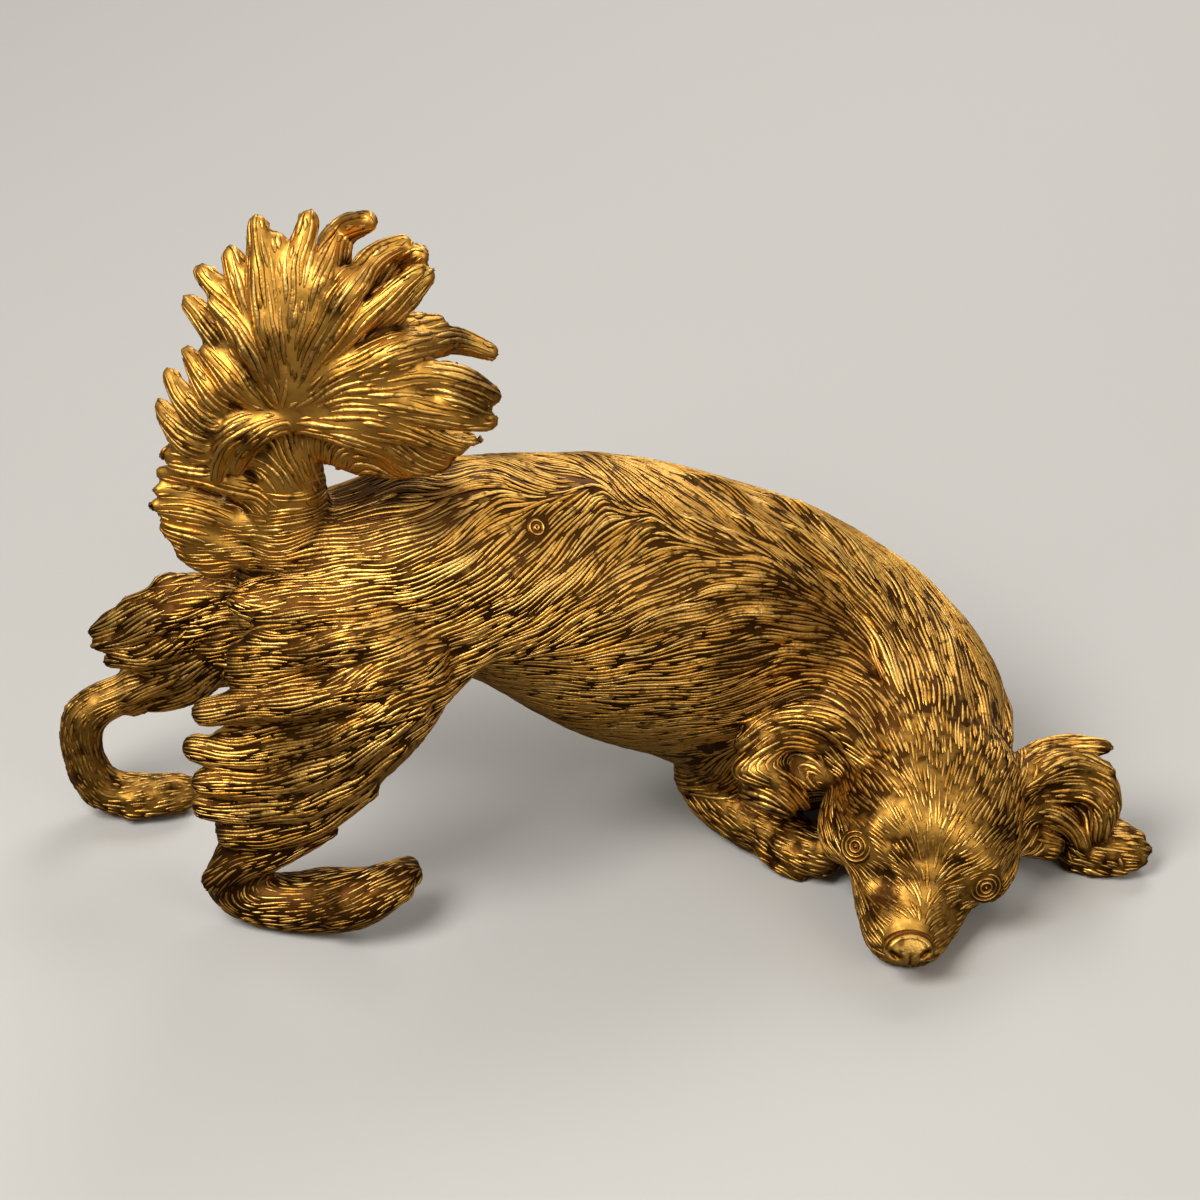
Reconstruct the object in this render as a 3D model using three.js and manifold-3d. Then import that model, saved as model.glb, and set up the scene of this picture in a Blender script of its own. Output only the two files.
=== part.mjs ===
// Dog figurine in gilt bronze: a long-haired dog in a play bow, cast in sections.
// Millimetres, +Z up. The tail end lies towards -X, the head towards +X, the dog's right side towards -Y.
// Each section is coped to its neighbours, keyed by a spigot and held by a pin that is filed flush.

import * as THREE from "three";
import { mergeVertices } from "three/addons/utils/BufferGeometryUtils.js";
import Module from "manifold-3d";

const wasm = await Module();
wasm.setup();

// Main sizes
const CROUP_HEIGHT = 59.5; // ground to the middle of the body at the haunch
const SHOULDER_HEIGHT = 30; // ground to the middle of the body at the shoulder
const BACK_LENGTH = 59.2; // haunch to shoulder, along X
const FRONT_SWING = 24.5; // haunch to shoulder, along Y: the front turns off the line of the rump
const NECK_REACH = 27.5; // shoulder to head, along X
const NECK_TURN = 30.5; // shoulder to head, along Y: the head turns to the dog's right
const HEAD_HEIGHT = 17.4; // ground to the middle of the skull
const RUMP_LENGTH = 23.8; // haunch to seat
const SEAT_WIDTH = 15;
const SEAT_DEPTH = 17;
const CROUP_WIDTH = 27;
const CROUP_DEPTH = 29;
const HAUNCH_WIDTH = 32;
const HAUNCH_DEPTH = 34;
const LOIN_WIDTH = 35;
const LOIN_DEPTH = 37;
const BACK_WIDTH = 42;
const BACK_DEPTH = 44.5;
const RIB_WIDTH = 46;
const RIB_DEPTH = 49;
const SHOULDER_WIDTH = 48;
const SHOULDER_DEPTH = 50;
const NECK_BASE_WIDTH = 44;
const NECK_BASE_DEPTH = 43;
const NECK_WIDTH = 36;
const NECK_DEPTH = 33;
const SKULL_WIDTH = 31.5;
const SKULL_DEPTH = 26.5;
const MUZZLE_LENGTH = 17.6; // stop to the end of the muzzle
const MUZZLE_WIDTH = 17.6;
const MUZZLE_DEPTH = 13.8;
const RIGHT_HIND_FOOT = 28.5; // heel to toes
const LEFT_HIND_FOOT = 16.8; // heel to toes
const LEFT_SHANK_REACH = 12.7; // knee joint to heel, along X
const RIGHT_FOREARM = 27; // elbow to toes
const LEFT_FOREARM = 47; // elbow to toes
const DOCK_LENGTH = 26; // rump to the plume's crown
const CROWN_REACH = 36.6; // longest lock of each tuft of the plume
const FAR_CROWN_REACH = 32;
const FORWARD_REACH = 32;
const FAR_FORWARD_REACH = 28;
const UPPER_REAR_REACH = 25;
const FAR_UPPER_REAR_REACH = 22;
const LOWER_REAR_REACH = 24.5;
const FAR_LOWER_REAR_REACH = 21.5;
const LOCK_THICKNESS = 7;
const LOCK_BREADTH = 9;
const FEATHER_BREADTH = 10;
const FEATHER_THICKNESS = 7;

// Fits shared by the joints
const JOINT_GAP = 0.3; // solder film between two castings, and round every spigot, pin and plug
const BODY_WALL = 4; // metal round the core of the rump
const SLEEVE_WALL = 2; // thickness of the torso's sleeve, and what the torso's wall has more than the rump's
const SLEEVE_REACH = 5; // how far the sleeve enters the rump
const NECK_SPIGOT_RADIUS = 5.5;
const TAIL_SPIGOT_RADIUS = 3.2;
const HIND_SPIGOT_RADIUS = 3;
const SHANK_SPIGOT_RADIUS = 2.2;
const RIGHT_FORE_SPIGOT_RADIUS = 3.6;
const LEFT_FORE_SPIGOT_RADIUS = 3.2;
const EAR_SPIGOT_RADIUS = 1.8;
const EAR_SPIGOT_REACH = 6; // into the skull
const EAR_SPIGOT_START = 0.7; // share of the way from the first section to the second
const PIN_RADIUS = 1.2;
const PIN_BITE = 1.5; // how far a pin runs past its spigot
const PLUG_RADIUS = 1.5; // of the plugs that close the holes left by the core's supports
const PIN_OUTSIDE = 45; // length of pin stock left standing out before it is filed flush

// Places from which the rest is measured
const haunch = [-32.2, -29, CROUP_HEIGHT];
const shoulder = [haunch[0] + BACK_LENGTH, haunch[1] + FRONT_SWING, SHOULDER_HEIGHT];
const HEAD_AT = [shoulder[0] + NECK_REACH, shoulder[1] - NECK_TURN, HEAD_HEIGHT];
const fromHaunch = placesFrom(haunch);
const fromShoulder = placesFrom(shoulder);
const fromHead = placesFrom(HEAD_AT);
const underHaunch = placesFrom([haunch[0], haunch[1], 0]);
const underShoulder = placesFrom([shoulder[0], shoulder[1], 0]);

function placesFrom(origin) {
  return (x, y, z) => [origin[0] + x, origin[1] + y, origin[2] + z];
}

// A place on the line from haunch to shoulder, shifted sideways and raised
function onBack(share, shift, rise) {
  const [x, y, z] = haunch.map((value, axis) => THREE.MathUtils.lerp(value, shoulder[axis], share));
  return [x, y + shift, z + rise];
}

function section(at, width, height) {
  return { at: new THREE.Vector3(...at), halfWidth: width / 2, halfHeight: height / 2 };
}

// Body sections from the tail end to the neck: middle, full width, full height
const BODY = {
  seat: section(fromHaunch(-RUMP_LENGTH, -1, -5), SEAT_WIDTH, SEAT_DEPTH),
  croup: section(fromHaunch(-0.54 * RUMP_LENGTH, -1, -1.5), CROUP_WIDTH, CROUP_DEPTH),
  haunch: section(haunch, HAUNCH_WIDTH, HAUNCH_DEPTH),
  loin: section(onBack(0.216, -2.3, 4.9), LOIN_WIDTH, LOIN_DEPTH),
  back: section(onBack(0.448, -1, 4.6), BACK_WIDTH, BACK_DEPTH),
  ribs: section(onBack(0.713, 0.5, 1.9), RIB_WIDTH, RIB_DEPTH),
  shoulder: section(shoulder, SHOULDER_WIDTH, SHOULDER_DEPTH),
  neckBase: section(fromShoulder(16.5, -1.5, -7), NECK_BASE_WIDTH, NECK_BASE_DEPTH),
  neck: section(fromHead(0, 18, 2.6), NECK_WIDTH, NECK_DEPTH),
};
const WAIST = fromHaunch(-5.3, -0.6, -0.3); // middle of the flat joint between rump and torso
const HAUNCH_MASS = { at: fromHaunch(-4.8, -10, -7), half: [12.5, 9.5, 15] }; // muscle over the right hip
const LEFT_HAUNCH_MASS = { at: fromHaunch(-13.8, 10, -10), half: [11, 9, 12] };
const SHOULDER_MASS = { at: fromShoulder(-5, -11.5, -6), half: [14, 11, 15] }; // right shoulder blade
const LEFT_SHOULDER_MASS = { at: fromShoulder(14, 13.5, -9), half: [13, 10, 16] };
const BREAST_MASS = { at: fromShoulder(5, -9, -16.5), half: [17, 12, 11] };

// Head, in its own frame: -Y to the nose, +Z to the crown, +X to the dog's left
const HEAD_FACING = [-0.163, -0.936, -0.31];
const HEAD_LEFT = [0.96, -0.08, -0.27];
const STOP_AT = -7; // where the muzzle starts
const muzzleEnd = STOP_AT - MUZZLE_LENGTH;
const SKULL = [
  section([0, 13, 0.5], SKULL_WIDTH - 9.5, SKULL_DEPTH - 7.5),
  section([0, 5, 0.8], SKULL_WIDTH - 0.5, SKULL_DEPTH),
  section([0, -5, 0], SKULL_WIDTH, SKULL_DEPTH - 1.5),
  section([0, -12, -2], SKULL_WIDTH - 4.5, SKULL_DEPTH - 6.5),
];
const MUZZLE = [
  section([0, STOP_AT, -3.8], MUZZLE_WIDTH + 8.4, MUZZLE_DEPTH + 4.2),
  section([0, STOP_AT - 0.45 * MUZZLE_LENGTH, -4.8], MUZZLE_WIDTH + 3.4, MUZZLE_DEPTH + 1.6),
  section([0, STOP_AT - 0.77 * MUZZLE_LENGTH, -5.2], MUZZLE_WIDTH, MUZZLE_DEPTH),
  section([0, muzzleEnd, -5.2], MUZZLE_WIDTH - 3.6, MUZZLE_DEPTH - 1.6),
];
const NOSE_PAD = { at: [0, muzzleEnd - 3.4, -2.2], half: [4.4, 2.3, 3] };
const EYE = { at: besideHead(1, -4.95, -13.6, 1), half: [2.9, 2.2, 2.6] };
const BROW = { at: besideHead(1, -7.55, -12, 4.4), half: [4.4, 3.2, 2.6] };
const CHEEK = { at: besideHead(1, -3.35, -4, -5), half: [5, 8.5, 6.6] };

// A place in the head's frame, measured outwards from the side of the skull
function besideHead(hand, out, y, z) {
  return [hand * (SKULL_WIDTH / 2 + out), y, z];
}

// Ears, in the head's frame: curled flaps as sections along the flap, depth and thickness
const RIGHT_EAR = [
  section(besideHead(-1, -3.15, 2.4, 4.6), 9, 5),
  section(besideHead(-1, 2.85, 7, 4.6), 10, 6),
  section(besideHead(-1, 8.25, 8.6, 2.8), 11, 6.6),
  section(besideHead(-1, 11.65, 4.4, 0.1), 11, 6.4),
  section(besideHead(-1, 10.65, -0.8, -3.6), 9, 5.4),
  section(besideHead(-1, 6.55, -4.4, -5.4), 6, 4),
];
const LEFT_EAR = [
  section(besideHead(1, -3.75, 5, 2.8), 9, 5),
  section(besideHead(1, 0.65, 9.8, 3.8), 10, 6),
  section(besideHead(1, 5.65, 12, 3.4), 11, 6.6),
  section(besideHead(1, 10.45, 11.8, 2.4), 11, 6.4),
  section(besideHead(1, 13.45, 8.8, 0), 9, 5.4),
  section(besideHead(1, 13.05, 5.4, -3.4), 6, 4),
];
const RIGHT_EAR_ACROSS = [-0.4, -0.5, 0.75]; // along the flap's width
const LEFT_EAR_ACROSS = [0.34, -0.4, 0.85];
const EAR_CUP_RADIUS = 7; // of the thin web inside the curl
const EAR_CUP_HALF_THICKNESS = 1.8;
const EAR_CUP_SET_BACK = 2; // of the web from the middle of the flap's depth

// Legs, each as sections from the joint down to the toes. Places along a foot or forearm are shares of it.
function along(start, degrees, length) {
  const heading = THREE.MathUtils.degToRad(degrees);
  const [ahead, aside] = [Math.cos(heading), Math.sin(heading)];
  return (share, bow, height) => [
    start[0] + share * length * ahead + bow * aside,
    start[1] + share * length * aside - bow * ahead,
    start[2] + height,
  ];
}

const rightFoot = along(underHaunch(-29.4, -14, 0), -11, RIGHT_HIND_FOOT);
const leftKnee = underHaunch(-43.3, 17.8, 0);
const leftShank = along(leftKnee, 180, LEFT_SHANK_REACH);
const leftFoot = along(leftShank(1, -1.4, 0), 0, LEFT_HIND_FOOT);
const rightForearm = along(underShoulder(-8.6, -9.1, 0), -41.7, RIGHT_FOREARM);
const leftForearm = along(underShoulder(29.5, 7.5, 0), -44.6, LEFT_FOREARM);
const RIGHT_HIND = [
  section(fromHaunch(-2.8, -12, -5.5), 19, 26),
  section(fromHaunch(-4.4, -14, -14), 18, 26),
  section(fromHaunch(-9, -15, -23), 15.5, 21),
  section(underHaunch(-16.2, -15, 25), 11.5, 14.6),
  section(underHaunch(-23.8, -14, 14.6), 9, 10.4),
  section(rightFoot(0, 0, 7.6), 8.6, 9.4),
  section(rightFoot(0.18, 0.5, 4), 8.6, 8.2),
  section(rightFoot(0.52, 0.7, 4.2), 9.6, 8.6),
  section(rightFoot(0.79, 0.7, 6.4), 9.8, 9.4),
  section(rightFoot(1, 0, 9.6), 7.4, 6.6),
];
const LEFT_THIGH = [
  section(fromHaunch(-13.8, 11, -13.5), 16, 20),
  section(fromHaunch(-21.8, 15, -20), 15, 20),
  section(fromHaunch(-29.8, 17, -26), 12, 15),
  section(underHaunch(-36.8, 17.6, 28.5), 9.4, 9.4),
  section(leftShank(0, 0, 25.4), 8.8, 8.8),
];
const LEFT_SHANK = [
  section(leftShank(0, 0, 25.4), 6.8, 6.8),
  section(leftShank(0.51, -0.3, 23), 7, 7),
  section(leftShank(0.94, -0.8, 19.4), 7.6, 8.2),
  section(leftFoot(0, 0, 12.6), 7.2, 7.4),
  section(leftFoot(0.17, 0.6, 5.4), 8, 8.2),
  section(leftFoot(0.58, 0, 3.4), 8.6, 7.8),
  section(leftFoot(1, -1, 3.2), 8, 7.2),
];
const RIGHT_FORE = [
  section(fromShoulder(-4.5, -10.5, -11), 15, 17),
  section(rightForearm(0, 0, 8.6), 11, 13),
  section(rightForearm(0.27, 1.4, 5.2), 10.4, 10.6),
  section(rightForearm(0.61, 1.5, 4.5), 9.6, 9.6),
  section(rightForearm(0.86, 0.6, 4.2), 10.4, 9.2),
  section(rightForearm(1, 0, 3.9), 9, 7.6),
];
const LEFT_FORE = [
  section(fromShoulder(17, 13.5, -13), 15, 17),
  section(leftForearm(0, 0, 6.6), 12, 12.6),
  section(leftForearm(0.41, 4, 4.8), 9.6, 9.6),
  section(leftForearm(0.74, 5.2, 4.2), 8.8, 8.8),
  section(leftForearm(0.9, 2.4, 3.9), 9.6, 8.6),
  section(leftForearm(1, 0, 3.6), 7.4, 6.8),
];

// Tail: the dock as sections, and the plume's tufts as locks that fan out from a root.
// A tip is given by its angle in degrees, from straight ahead to straight back, and its share of the reach.
const fromDock = placesFrom(fromHaunch(-17.2, -1.4, 3.5));
const DOCK = [
  section(fromDock(0, 0, 0), 13, 17),
  section(fromDock(-2, -0.2, 0.31 * DOCK_LENGTH), 12, 15),
  section(fromDock(-2.2, -0.6, 0.65 * DOCK_LENGTH), 11, 13),
  section(fromDock(-0.6, -1.6, DOCK_LENGTH), 10, 11),
];
const crownHeight = DOCK_LENGTH - 1;
const forwardHeight = DOCK_LENGTH + 1;
const rearHeight = 0.62 * DOCK_LENGTH;
const PLUME = [
  {
    // crown of the plume, near side
    root: fromDock(-0.1, -2.6, crownHeight),
    reach: CROWN_REACH,
    lean: -3,
    bow: 0.1,
    tips: [
      [125, 0.7], [114, 0.8], [104, 0.85], [93, 0.98], [83, 1], [70, 1.03], [55, 1], [47, 0.92], [36, 0.8],
    ],
  },
  {
    // crown of the plume, far side
    root: fromDock(-0.1, 0.4, crownHeight),
    reach: FAR_CROWN_REACH,
    lean: 2,
    bow: 0.1,
    tips: [[125, 0.68], [111, 0.83], [98, 0.93], [85, 1], [70, 1], [55, 0.97], [39, 0.9]],
  },
  {
    // locks that fall forward over the croup, near side
    root: fromDock(0.9, -3.6, forwardHeight),
    reach: FORWARD_REACH,
    lean: -4,
    bow: 0.2,
    tips: [[15, 0.98], [7, 1], [-3, 0.97], [-15, 0.84], [-24, 0.61]],
  },
  {
    // locks that fall forward, far side
    root: fromDock(0.9, 0.4, forwardHeight),
    reach: FAR_FORWARD_REACH,
    lean: 2,
    bow: 0.2,
    tips: [[14, 1], [0, 0.98], [-16, 0.8]],
  },
  {
    // upper tuft at the rear of the dock, near side
    root: fromDock(-0.6, -2.6, rearHeight),
    reach: UPPER_REAR_REACH,
    lean: -1,
    bow: -0.16,
    tips: [[123, 1], [136, 0.95], [150, 0.86], [167, 0.8]],
  },
  {
    // upper tuft at the rear of the dock, far side
    root: fromDock(-0.6, 0.4, rearHeight),
    reach: FAR_UPPER_REAR_REACH,
    lean: 3,
    bow: -0.16,
    tips: [[129, 1], [149, 0.88]],
  },
  {
    // lower tuft at the rear of the dock, near side
    root: fromDock(0.4, -1.6, 2),
    reach: LOWER_REAR_REACH,
    lean: -1.5,
    bow: -0.14,
    tips: [[148, 1], [158, 0.95], [169, 0.89], [183, 0.78], [199, 0.62]],
  },
  {
    // lower tuft at the rear of the dock, far side
    root: fromDock(0.4, 2.4, 2),
    reach: FAR_LOWER_REAR_REACH,
    lean: 2,
    bow: -0.14,
    tips: [[152, 1], [170, 0.92], [187, 0.75]],
  },
];

// Feathering on the hind legs, as locks from a root on the leg to a tip
const RIGHT_FEATHERS = [
  { root: fromHaunch(-7.8, -16, -1.5), tip: fromHaunch(-26.4, -14, -4.5) },
  { root: fromHaunch(-8.8, -16, -7), tip: fromHaunch(-30.2, -15, -10.7) },
  { root: fromHaunch(-10.3, -17, -13), tip: fromHaunch(-31.2, -16, -16.7) },
  { root: fromHaunch(-12.8, -16, -19.5), tip: fromHaunch(-32.6, -15, -23.5) },
  { root: underHaunch(-15.3, -16.5, 34), tip: underHaunch(-33.8, -15.5, 29) },
  { root: underHaunch(-17.8, -15.5, 28.5), tip: underHaunch(-33.2, -14.5, 23.4) },
  { root: underHaunch(-21.3, -15.5, 22), tip: underHaunch(-31.8, -14.5, 17.6) },
];
const LEFT_FEATHERS = [
  { root: fromHaunch(-23.8, 15, -17.5), tip: fromHaunch(-42.2, 16, -11.5) },
  { root: fromHaunch(-24.8, 14, -18.5), tip: fromHaunch(-48.2, 15, -15.5) },
  { root: fromHaunch(-25.8, 15, -19.5), tip: fromHaunch(-51.8, 16, -19.5) },
  { root: fromHaunch(-26.8, 14, -21), tip: fromHaunch(-53, 15, -24.7) },
  { root: fromHaunch(-27.8, 15, -23), tip: fromHaunch(-50.4, 16, -28.5) },
  { root: fromHaunch(-27.8, 14, -24.5), tip: fromHaunch(-43.4, 15, -30.1) },
];
const FEATHER_BOW = -0.08;

// Spigots: from inside the casting that carries one to its end in the casting that takes it
const NECK_SPIGOT = {
  from: HEAD_AT,
  to: fromShoulder(19, 1.5, -7.5),
  radius: NECK_SPIGOT_RADIUS,
  pinAt: 0.82,
  pinFrom: [0.25, 0.2, 1],
};
const TAIL_SPIGOT = {
  from: fromDock(-0.4, -0.1, 9),
  to: fromDock(-0.2, 0.4, -2),
  radius: TAIL_SPIGOT_RADIUS,
  pinAt: 0.7,
  pinFrom: [0, -1, 0.15],
};
const RIGHT_HIND_SPIGOT = {
  from: fromHaunch(-6.8, -14, -13.5),
  to: fromHaunch(-14.3, -7, -5),
  radius: HIND_SPIGOT_RADIUS,
  pinAt: 0.66,
  pinFrom: [-0.2, -1, 0.35],
};
const LEFT_HIND_SPIGOT = {
  from: fromHaunch(-21.8, 15, -19.5),
  to: fromHaunch(-18.3, 5, -8),
  radius: HIND_SPIGOT_RADIUS,
  pinAt: 0.6,
  pinFrom: [0.1, 1, 0.35],
};
const LEFT_SHANK_SPIGOT = {
  from: placesFrom(leftKnee)(-3.5, -0.2, 24.2),
  to: placesFrom(leftKnee)(9.5, -0.4, 30.6),
  radius: SHANK_SPIGOT_RADIUS,
  pinAt: 0.6,
  pinFrom: [0, -1, 0.3],
};
const RIGHT_FORE_SPIGOT = {
  from: underShoulder(-7.5, -9.5, 12.5),
  to: fromShoulder(-2, -2.5, -4),
  radius: RIGHT_FORE_SPIGOT_RADIUS,
  pinAt: 0.62,
  pinFrom: [-0.3, -1, 0.2],
};
const LEFT_FORE_SPIGOT = {
  from: underShoulder(28.5, 8, 8),
  to: fromShoulder(15, 9.5, -12),
  radius: LEFT_FORE_SPIGOT_RADIUS,
  pinAt: 0.6,
  pinFrom: [0.2, 1, 0.2],
};
const WAIST_PIN_SIDES = { right: [0, -1, 0.25], left: [0, 1, 0.25] };
const PLUG_SIDES = { right: [0, -0.62, 0.78], left: [0, 0.62, 0.78] };
const PLUG_MIDDLE = onBack(0.372, -2.1, 5.5); // where the axes of the two plugs cross

// Facets
const BODY_SIDES = 18;
const CORE_SIDES = 10;
const LIMB_SIDES = 10;
const SKULL_SIDES = 14;
const EAR_SIDES = 8;
const LOCK_SIDES = 6;
const LOCK_STATIONS = 4;
const PIN_SIDES = 10;
const BALL_SIDES = 10;
const ACROSS_DOG = [0, 1, 0]; // the way in which most sections have their width
const ROUND_DOME = 0.6; // length of a rounded end as a share of the section's lesser half
const LOCK_DOME = 0.8;
const ROUND_END = [30, 62]; // degrees round a dome at which it has rings
const LOCK_END = [50];

function vector(numbers) {
  return new THREE.Vector3(...numbers);
}

// A closed tube through the sections. The width lies along side, squared to the path; the ends are domes.
function loft(sections, options) {
  const { grow, sides, steps = 2, side = ACROSS_DOG, dome = ROUND_DOME, end = ROUND_END } = options;
  const path = new THREE.CatmullRomCurve3(sections.map((each) => each.at), false, "centripetal");
  const spans = (sections.length - 1) * steps;
  const rings = [];
  for (let i = 0; i <= spans; i += 1) {
    const t = i / spans;
    const before = Math.min(Math.floor(i / steps), sections.length - 2);
    const share = i / steps - before;
    const ease = share * share * (3 - 2 * share);
    const along = path.getTangent(t);
    const across = vector(side).addScaledVector(along, -along.dot(vector(side))).normalize();
    rings.push({
      middle: path.getPoint(t),
      along,
      across,
      up: new THREE.Vector3().crossVectors(along, across),
      wide: THREE.MathUtils.lerp(sections[before].halfWidth, sections[before + 1].halfWidth, ease) + grow,
      high: THREE.MathUtils.lerp(sections[before].halfHeight, sections[before + 1].halfHeight, ease) + grow,
    });
  }
  const first = domeRings(rings[0], -1, dome, end);
  const last = domeRings(rings[rings.length - 1], 1, dome, end);
  return closedTube([...first.rings.reverse(), ...rings, ...last.rings], first.pole, last.pole, sides);
}

// Rings that round off a tube beyond its last ring, and the pole that closes it
function domeRings(ring, sense, dome, end) {
  const reach = dome * Math.min(ring.wide, ring.high);
  const rings = end.map((degrees) => {
    const angle = THREE.MathUtils.degToRad(degrees);
    return {
      ...ring,
      middle: ring.middle.clone().addScaledVector(ring.along, sense * reach * Math.sin(angle)),
      wide: ring.wide * Math.cos(angle),
      high: ring.high * Math.cos(angle),
    };
  });
  return { rings, pole: ring.middle.clone().addScaledVector(ring.along, sense * reach) };
}

function closedTube(rings, startPole, endPole, sides) {
  const points = [];
  for (const ring of rings) {
    for (let j = 0; j < sides; j += 1) {
      const angle = (2 * Math.PI * j) / sides;
      const point = ring.middle.clone();
      point.addScaledVector(ring.across, ring.wide * Math.cos(angle));
      point.addScaledVector(ring.up, ring.high * Math.sin(angle));
      points.push(point);
    }
  }
  const startIndex = points.push(startPole) - 1;
  const endIndex = points.push(endPole) - 1;
  const triangles = [];
  const last = (rings.length - 1) * sides;
  for (let j = 0; j < sides; j += 1) {
    const next = (j + 1) % sides;
    triangles.push(startIndex, next, j, endIndex, last + j, last + next);
    for (let row = 0; row < last; row += sides) {
      triangles.push(row + j, row + next, row + sides + j);
      triangles.push(row + next, row + sides + next, row + sides + j);
    }
  }
  const geometry = new THREE.BufferGeometry().setFromPoints(points);
  geometry.setIndex(triangles);
  return geometry;
}

// A pointed, flattened lock of hair from its root to its tip, bowed in the plane square to side
function lock(root, tip, { bow, breadth, thickness, grow }) {
  const side = ACROSS_DOG;
  const start = vector(root);
  const end = vector(tip);
  const chord = end.clone().sub(start);
  const bend = new THREE.Vector3().crossVectors(vector(side), chord).multiplyScalar(bow);
  const bulge = start.clone().lerp(end, 0.55).add(bend);
  const curve = new THREE.QuadraticBezierCurve3(start, bulge, end);
  const sections = [];
  for (let i = 0; i < LOCK_STATIONS; i += 1) {
    const t = i / (LOCK_STATIONS - 1);
    const fullness = 0.5 + 1.5 * t - 1.65 * t * t;
    sections.push(section(curve.getPoint(t).toArray(), thickness * fullness, breadth * fullness));
  }
  return loft(sections, { grow, sides: LOCK_SIDES, steps: 1, side, dome: LOCK_DOME, end: LOCK_END });
}

function ball({ at, half }, grow) {
  const geometry = new THREE.SphereGeometry(1, BALL_SIDES, BALL_SIDES / 2);
  geometry.scale(half[0] + grow, half[1] + grow, half[2] + grow);
  return geometry.translate(...at);
}

// A round bar between two points
function bar(from, to, radius) {
  const geometry = new THREE.CylinderGeometry(radius, radius, from.distanceTo(to), PIN_SIDES);
  const turn = new THREE.Quaternion();
  turn.setFromUnitVectors(new THREE.Vector3(0, 1, 0), to.clone().sub(from).normalize());
  geometry.applyQuaternion(turn);
  return geometry.translate(...from.clone().lerp(to, 0.5).toArray());
}

function solid(geometry) {
  const bare = geometry.clone();
  bare.deleteAttribute("normal");
  bare.deleteAttribute("uv");
  const merged = mergeVertices(bare, 1e-5);
  return new wasm.Manifold(new wasm.Mesh({
    numProp: 3,
    vertProperties: new Float32Array(merged.attributes.position.array),
    triVerts: new Uint32Array(merged.index.array),
  }));
}

function joined(geometries) {
  return geometries.map(solid).reduce((whole, piece) => whole.add(piece));
}

// The casting without the slivers that its coping cuts loose
function mainBody(casting) {
  return casting.decompose().reduce((most, piece) => (piece.volume() > most.volume() ? piece : most));
}

// Forms of the castings before they are coped to each other. Each can be grown for its neighbours' copes.
const bodySections = Object.values(BODY);
const coreSections = bodySections.slice(0, bodySections.indexOf(BODY.shoulder) + 1);

function bodyForm(grow) {
  return solid(loft(bodySections, { grow, sides: BODY_SIDES, steps: 2 }));
}

function coreForm(wall) {
  return solid(loft(coreSections, { grow: -wall, sides: CORE_SIDES, steps: 1 }));
}

// Everything on the tail side of a plane square to the body at the waist, shifted towards the head
const bodyPath = new THREE.CatmullRomCurve3(bodySections.map((each) => each.at), false, "centripetal");
const waistAlong = bodyPath.getTangent(1.6 / (bodySections.length - 1));

function behindWaist(shift) {
  const reach = 3 * HAUNCH_WIDTH;
  const block = new THREE.BoxGeometry(reach, reach, reach);
  block.translate(-reach / 2 + shift, 0, 0);
  block.applyQuaternion(new THREE.Quaternion().setFromUnitVectors(new THREE.Vector3(1, 0, 0), waistAlong));
  return solid(block.translate(...WAIST));
}

function rumpForm(grow) {
  const rear = bodyForm(grow).intersect(behindWaist(grow));
  const muscles = joined([ball(HAUNCH_MASS, grow), ball(LEFT_HAUNCH_MASS, grow)]);
  return rear.add(muscles.intersect(behindWaist(grow)));
}

function torsoForm(grow) {
  const muscles = [SHOULDER_MASS, LEFT_SHOULDER_MASS, BREAST_MASS].map((mass) => ball(mass, grow));
  return bodyForm(grow).add(joined(muscles));
}

const headFrame = headMatrix();

function headMatrix() {
  const back = vector(HEAD_FACING).normalize().negate();
  const left = vector(HEAD_LEFT);
  left.addScaledVector(back, -left.dot(back)).normalize();
  const crown = new THREE.Vector3().crossVectors(left, back);
  return new THREE.Matrix4().makeBasis(left, back, crown).setPosition(...HEAD_AT);
}

function mirrored({ at, half }) {
  return { at: [-at[0], at[1], at[2]], half };
}

function headForm(grow) {
  const acrossHead = [1, 0, 0];
  const pairs = [EYE, BROW, CHEEK].flatMap((mass) => [mass, mirrored(mass)]);
  const pieces = [
    loft(SKULL, { grow, sides: SKULL_SIDES, steps: 2, side: acrossHead }),
    loft(MUZZLE, { grow, sides: LIMB_SIDES, steps: 2, side: acrossHead }),
    ...[NOSE_PAD, ...pairs].map((mass) => ball(mass, grow)),
  ];
  return joined(pieces.map((piece) => piece.applyMatrix4(headFrame)));
}

// A curled flap round a thin web that is set back from its edge
function earForm(sections, side, grow) {
  const across = vector(side).normalize();
  const middle = sections.reduce((sum, each) => sum.add(each.at), new THREE.Vector3());
  middle.divideScalar(sections.length).addScaledVector(across, -EAR_CUP_SET_BACK);
  const half = [EAR_CUP_RADIUS, EAR_CUP_RADIUS, EAR_CUP_HALF_THICKNESS];
  const cup = ball({ at: [0, 0, 0], half }, grow);
  cup.applyQuaternion(new THREE.Quaternion().setFromUnitVectors(new THREE.Vector3(0, 0, 1), across));
  cup.translate(...middle.toArray());
  const flap = loft(sections, { grow, sides: EAR_SIDES, steps: 2, side });
  return joined([flap, cup].map((piece) => piece.applyMatrix4(headFrame)));
}

function limbForm(sections, grow) {
  return solid(loft(sections, { grow, sides: LIMB_SIDES, steps: 2 }));
}

function feathers(list, grow) {
  const shape = { bow: FEATHER_BOW, breadth: FEATHER_BREADTH, thickness: FEATHER_THICKNESS, grow };
  return joined(list.map(({ root, tip }) => lock(root, tip, shape)));
}

function tuftTips({ root, reach, lean, tips }) {
  return tips.map(([degrees, share]) => {
    const angle = THREE.MathUtils.degToRad(degrees);
    const length = share * reach;
    return placesFrom(root)(length * Math.cos(angle), share * lean, length * Math.sin(angle));
  });
}

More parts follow.
